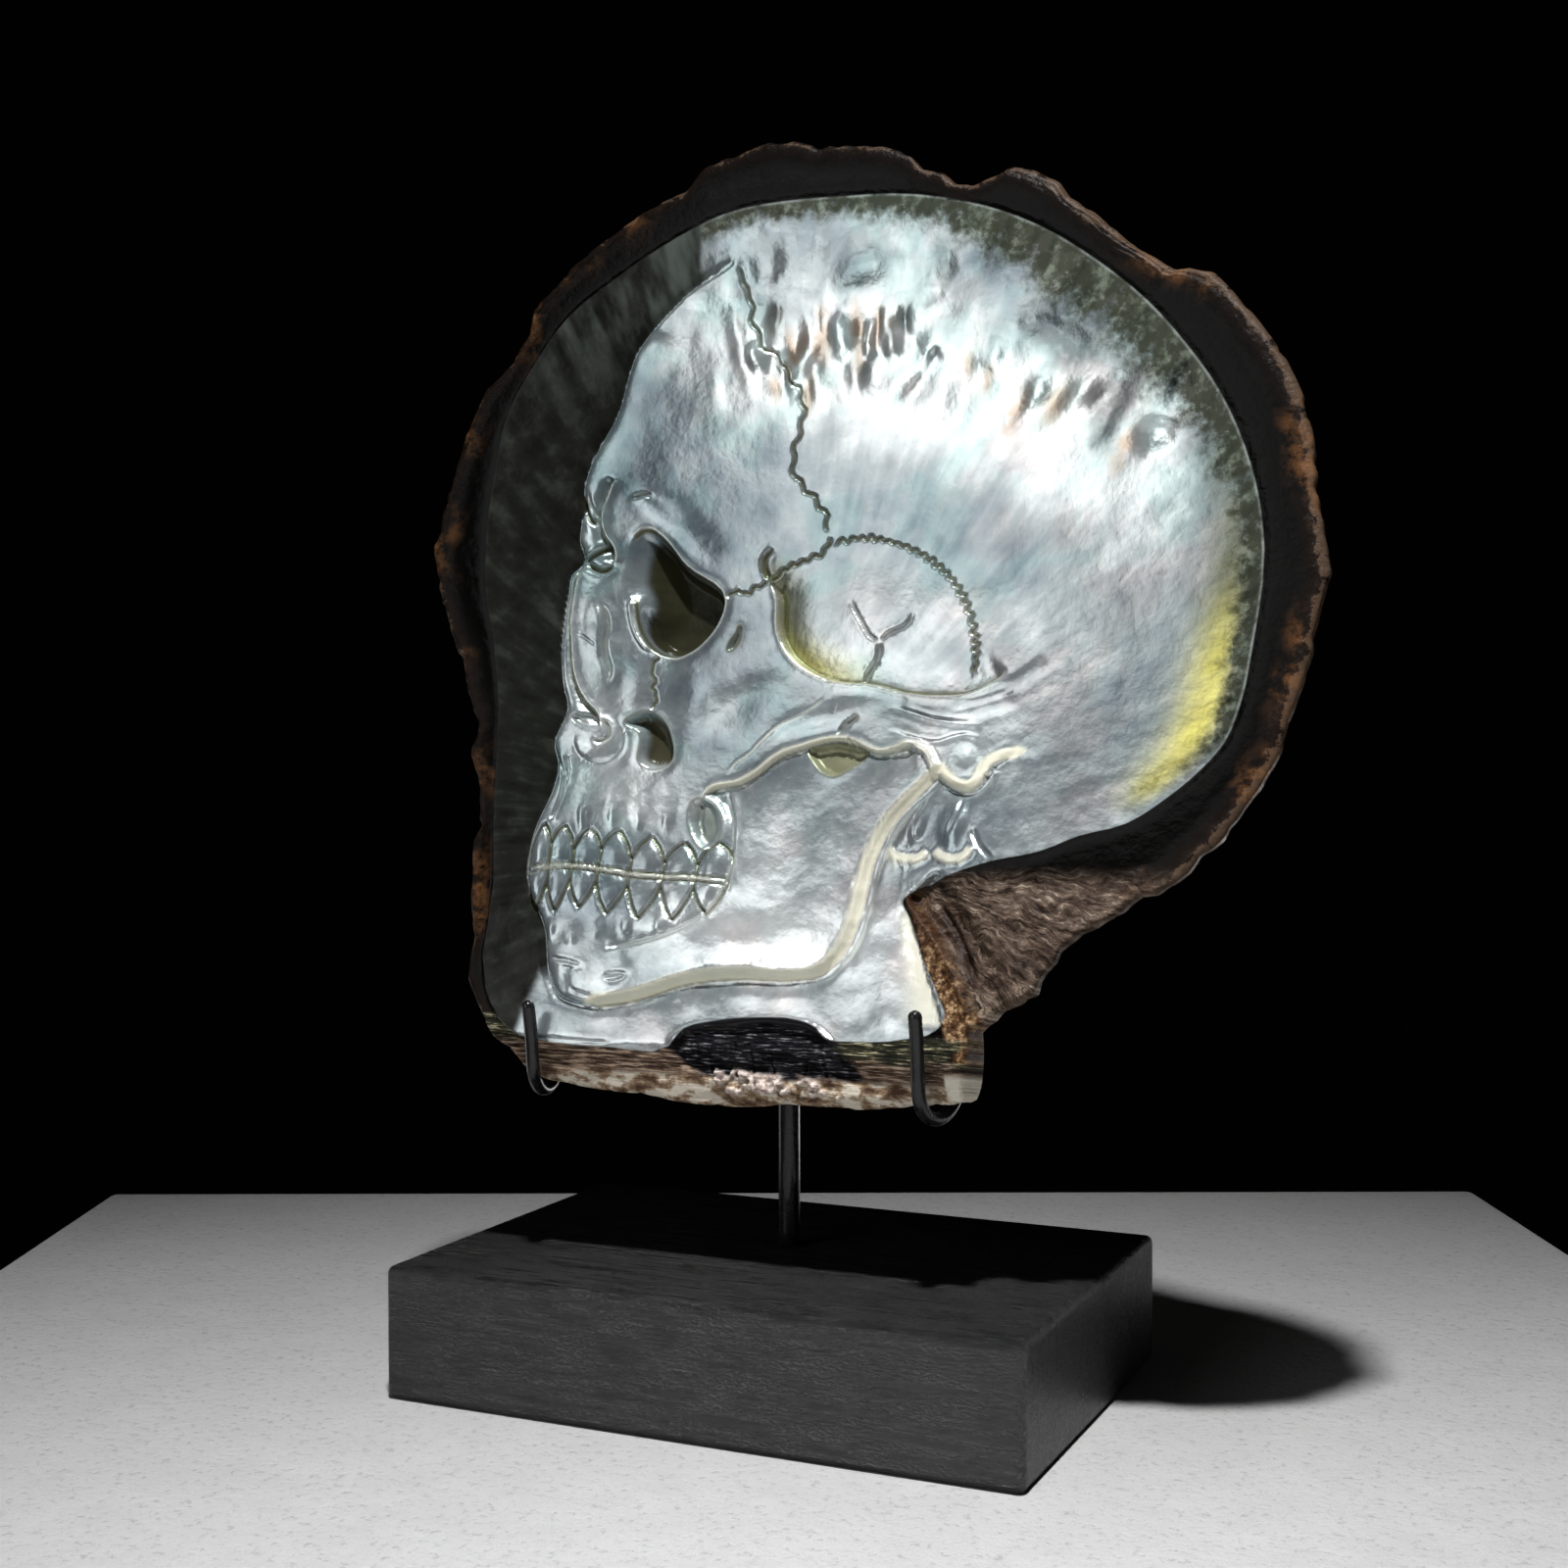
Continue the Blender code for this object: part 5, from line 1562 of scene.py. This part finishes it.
def back_finish(tones):
    """The outer face: rough grey-brown scales with pale rays that fan out from the hinge."""
    board = Board("scaly back")
    u, v, flat = board.shell_map()
    reach, heading = board.away(u, v, GROWTH_CENTRE.tolist())
    rays = board.speckle(heading, 2.0, 2.0, 0.4, stretch=(3.2, 3.2, 0.0))
    rough = board.speckle(flat, 0.35, 6.0, 0.7)
    rings = board.speckle(board.join(reach * 0.35, 0.0, 0.0), 1.0, 4.0, 0.7)
    tone = board.ramp(
        rough * 0.5 + rings * 0.5,
        (0.34, (0.028, 0.023, 0.018)),
        (0.50, tones.back),
        (0.66, (0.30, 0.255, 0.20)),
    )
    pale = board.step(rays, 0.53, 0.62) * board.step(rough, 0.32, 0.62)
    tone = board.mix(pale * 0.7, tone, (0.60, 0.55, 0.46))
    skin = board.bump(board.speckle(flat, 1.3, 6.0, 0.7), 0.0008, 0.9)
    return board.finish(Base_Color=tone, Roughness=0.62 + rough * 0.2, Normal=skin, Coat_Weight=0.06)


def wood_finish(tones):
    """Black stained wood: fine grain drawn out along the block, a pebbled, satin skin and painted glints.
    """
    board = Board("black stained wood")
    spot = board.on_object()
    x, _, _ = board.axes(spot)
    grain = board.speckle(spot, 1.0, 5.0, 0.65, stretch=(60.0, 900.0, 900.0))
    pebble = board.speckle(spot, 1.0, 4.0, 0.7, stretch=(1000.0, 2000.0, 2000.0))
    broad = board.speckle(spot, 1.0, 3.0, stretch=(12.0, 90.0, 90.0))
    tone = board.ramp(grain * 0.7 + broad * 0.4, (0.35, (0.001, 0.001, 0.001)), (0.75, tones.wood))
    # Painted glints: pale flecks on the pebbled grain, most across the middle of the block.
    painted_glints = board.step(x, -0.055, -0.02) * board.step(x, 0.05, 0.0) * 0.7 + 0.3
    painted_glints = board.step(pebble * 0.6 + grain * 0.4, 0.52, 0.62) * painted_glints
    tone = board.mix(painted_glints, tone, (0.06, 0.06, 0.06))
    skin = board.bump(grain * 0.4 + pebble, 0.0009)
    return board.finish(Base_Color=tone, Roughness=0.2 + grain * 0.16, Normal=skin)


def steel_finish(tones):
    """Black enamel on wire: glossy, a little orange-peel in the coat."""
    board = Board("black enamelled steel")
    spot = board.on_object()
    peel = board.speckle(spot, 900.0)
    return board.finish(
        Base_Color=board.mix(board.speckle(spot, 160.0), tones.steel, (0.012, 0.012, 0.013)),
        Roughness=0.22 + peel * 0.12,
        Metallic=0.1,
        Normal=board.bump(peel, 0.0002, 0.35),
        Coat_Weight=0.35,
        Coat_Roughness=0.05,
        Specular_IOR_Level=0.2,
    )


def floor_finish(tones):
    """Pale plaster: faint clouds, low mottling and a fine grit."""
    board = Board("pale plaster")
    spot = board.on_object()
    cloud = board.speckle(spot, 14.0, 4.0)
    grit = board.speckle(spot, 520.0, 5.0, 0.75)
    patch = board.speckle(spot, 90.0, 4.0, 0.7)
    darker, darkest = ([part * share for part in tones.floor] for share in (0.72, 0.4))
    tone = board.mix(cloud * 0.4 + patch * 0.6, darker, tones.floor)
    tone = board.mix(board.step(grit, 0.46, 0.36) * 0.45, tone, darkest)
    return board.finish(Base_Color=tone, Roughness=0.8, Normal=board.bump(grit + patch, 0.001, 0.7))


def colour_property(name, description, default):
    """A colour that the sidebar shows."""
    return bpy.props.FloatVectorProperty(
        name=name, description=description, default=default, subtype="COLOR", size=3, min=0.0, max=1.0
    )


class PearlTones(bpy.types.PropertyGroup):
    """Colours of every finish."""

    pearl_deep: colour_property("Deep pearl", "Darkest blue-grey of the pearl", (0.07, 0.10, 0.12))
    pearl_blue: colour_property("Blue pearl", "Blue-grey of the pearl", (0.21, 0.265, 0.305))
    pearl_silver: colour_property("Silver pearl", "Main silver of the pearl", (0.42, 0.475, 0.50))
    pearl_white: colour_property("White pearl", "Lightest silver of the pearl", (0.92, 0.97, 0.98))
    pearl_rose: colour_property("Rose pearl", "Warm cast in the pearl", (1.0, 0.84, 0.82))
    pearl_teal: colour_property("Teal pearl", "Green cast in the pearl", (0.78, 1.0, 0.97))
    yellow: colour_property("Yellow band", "Olive yellow near the right edge", (0.85, 0.78, 0.20))
    # Olive of the cuts, which also paints shade in them.
    olive: colour_property("Olive", "Bottoms of the cuts", (0.05, 0.043, 0.014))
    cream: colour_property("Cream", "Cut walls of the carving", (0.84, 0.81, 0.66))
    amber: colour_property("Amber", "Thin translucent patches of the lip", (0.30, 0.13, 0.045))
    back: colour_property("Back", "Outer face of the shell", (0.085, 0.068, 0.052))
    wood: colour_property("Wood", "Lightest grain of the block", (0.005, 0.005, 0.005))
    steel: colour_property("Steel", "Enamel of the rod and hooks", (0.008, 0.008, 0.009))
    floor: colour_property("Floor", "Plaster floor", (0.45, 0.45, 0.45))


class PearlSizes(bpy.types.PropertyGroup):
    """Sizes that a user would change."""

    block_edge: bpy.props.FloatProperty(
        name="Block edge", description="Radius of the wooden block's edges", default=1.5 * MM, unit="LENGTH"
    )
    key_power: bpy.props.FloatProperty(
        name="Key light", description="Power of the light above and in front", default=1.75, unit="POWER"
    )
    fill_power: bpy.props.FloatProperty(
        name="Fill light", description="Power of the wide soft light in front", default=0.56, unit="POWER"
    )
    side_scale: bpy.props.FloatProperty(
        name="Side light", description="Share of the power of the lights beside and behind", default=1.0
    )


class PEARL_OT_shell(bpy.types.Operator):
    """Builds the carved shell as one closed mesh"""

    bl_idname = "pearl.shell"
    bl_label = "Carved shell"

    def execute(self, context):
        tones = context.scene.pearl_tones
        finishes = (pearl_finish(tones), back_finish(tones))
        add_piece("carved_shell", build_shell(), finishes, "nacre", "shell")
        return {"FINISHED"}


class PEARL_OT_block(bpy.types.Operator):
    """Builds the wooden block"""

    bl_idname = "pearl.block"
    bl_label = "Wooden block"

    def execute(self, context):
        low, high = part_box("base")
        radius = context.scene.pearl_sizes.block_edge / MM
        spots, faces = build_block(low, high, radius, BLOCK_CELLS)
        mesh = fill_mesh("block", spots * MM, faces.ravel(), np.full(len(faces), 4))
        add_piece("block", mesh, (wood_finish(context.scene.pearl_tones),), "wood", "base")
        return {"FINISHED"}


class PEARL_OT_stand(bpy.types.Operator):
    """Builds the rod and the two wire hooks"""

    bl_idname = "pearl.stand"
    bl_label = "Rod and hooks"

    def execute(self, context):
        steel = steel_finish(context.scene.pearl_tones)
        route, radii = rounded_tip(rod_route()[::-1], ROD_RADIUS)
        add_piece("post", tube("post", route, radii, 40), (steel,), "steel", "rod")
        for name in HOOK_X:
            add_piece("wire_" + name, build_hook(name), (steel,), "steel", name)
        return {"FINISHED"}


def area_light(name, place_at, target, size, power, spread_angle):
    """A soft light at a place in millimetres, turned to a target, hidden from the camera itself."""
    light = bpy.data.lights.new(name, "AREA")
    light.shape = "RECTANGLE"
    light.size, light.size_y = size
    light.energy = power
    light.spread = math.radians(spread_angle)
    lamp = bpy.data.objects.new(name, light)
    start, end = np.array(place_at) * MM, np.array(target) * MM
    ahead = (end - start) / np.linalg.norm(end - start)
    right = np.cross(ahead, (0.0, 0.0, 1.0))
    right /= np.linalg.norm(right)
    lamp.matrix_world = basis(right, np.cross(right, ahead), -ahead, start)
    lamp.visible_camera = False
    bpy.context.scene.collection.objects.link(lamp)


def basis(right, up, toward, spot):
    """A matrix whose columns are three directions and a place."""
    grid = np.eye(4)
    grid[:3, 0], grid[:3, 1], grid[:3, 2], grid[:3, 3] = right, up, toward, spot
    return Matrix(grid.tolist())


class PEARL_OT_stage(bpy.types.Operator):
    """Builds the floor, the lights and the camera"""

    bl_idname = "pearl.stage"
    bl_label = "Stage"

    def execute(self, context):
        sizes, tones = context.scene.pearl_sizes, context.scene.pearl_tones
        ahead = np.array([-math.sin(CAMERA_YAW), math.cos(CAMERA_YAW), 0.0])
        across = np.array([ahead[1], -ahead[0], 0.0])
        spots, faces = build_block(FLOOR_LOW, FLOOR_HIGH, FLOOR_EDGE, FLOOR_CELLS)
        turned = FLOOR_BACK + spots @ np.array([across, ahead, (0.0, 0.0, 1.0)])
        mesh = fill_mesh("floor", turned * MM, faces.ravel(), np.full(len(faces), 4))
        mesh.materials.append(floor_finish(tones))
        floor = bpy.data.objects.new("floor", mesh)
        context.scene.collection.objects.link(floor)
        for name, (place_at, target, size, power, share, spread_angle) in LIGHTS.items():
            area_light(name, place_at, target, size, getattr(sizes, power) * share, spread_angle)

        world = bpy.data.worlds.new("dark studio")
        world.use_nodes = True
        world.node_tree.nodes["Background"].inputs["Color"].default_value = (0.0004, 0.0004, 0.0004, 1.0)
        context.scene.world = world
        context.scene.view_settings.view_transform = "Standard"

        lens = bpy.data.cameras.new("camera")
        lens.lens = CAMERA_LENS
        lens.sensor_width = 36.0
        camera = bpy.data.objects.new("camera", lens)
        forward = np.array([
            -math.sin(CAMERA_YAW) * math.cos(CAMERA_PITCH),
            math.cos(CAMERA_YAW) * math.cos(CAMERA_PITCH),
            -math.sin(CAMERA_PITCH),
        ])
        level = np.array([math.cos(CAMERA_YAW), math.sin(CAMERA_YAW), 0.0])
        upright = np.cross(level, forward)
        right = level * math.cos(CAMERA_ROLL) + upright * math.sin(CAMERA_ROLL)
        up = upright * math.cos(CAMERA_ROLL) - level * math.sin(CAMERA_ROLL)
        camera.matrix_world = basis(right, up, -forward, np.array(CAMERA_PLACE) * MM)
        context.scene.collection.objects.link(camera)
        context.scene.camera = camera
        return {"FINISHED"}


class PEARL_PT_panel(bpy.types.Panel):
    """Lists the pieces of the shell and its stand"""

    bl_idname = "PEARL_PT_panel"
    bl_label = "Pearl Shell"
    bl_space_type = "VIEW_3D"
    bl_region_type = "UI"
    bl_category = "Pearl Shell"

    def draw(self, context):
        for operator in OPERATORS:
            self.layout.operator(operator.bl_idname)
        for group in (context.scene.pearl_sizes, context.scene.pearl_tones):
            for name in group.bl_rna.properties.keys():
                if name not in ("rna_type", "name"):
                    self.layout.prop(group, name)


OPERATORS = (PEARL_OT_stage, PEARL_OT_block, PEARL_OT_stand, PEARL_OT_shell)
CLASSES = (PearlTones, PearlSizes, *OPERATORS, PEARL_PT_panel)


def register():
    for item in CLASSES:
        bpy.utils.register_class(item)
    bpy.types.Scene.pearl_tones = bpy.props.PointerProperty(type=PearlTones)
    bpy.types.Scene.pearl_sizes = bpy.props.PointerProperty(type=PearlSizes)


def unregister():
    del bpy.types.Scene.pearl_sizes
    del bpy.types.Scene.pearl_tones
    for item in reversed(CLASSES):
        bpy.utils.unregister_class(item)


def main():
    """Builds the stage and every piece."""
    register()
    bpy.ops.pearl.stage()
    bpy.ops.pearl.block()
    bpy.ops.pearl.stand()
    bpy.ops.pearl.shell()


if __name__ == "__main__":
    main()
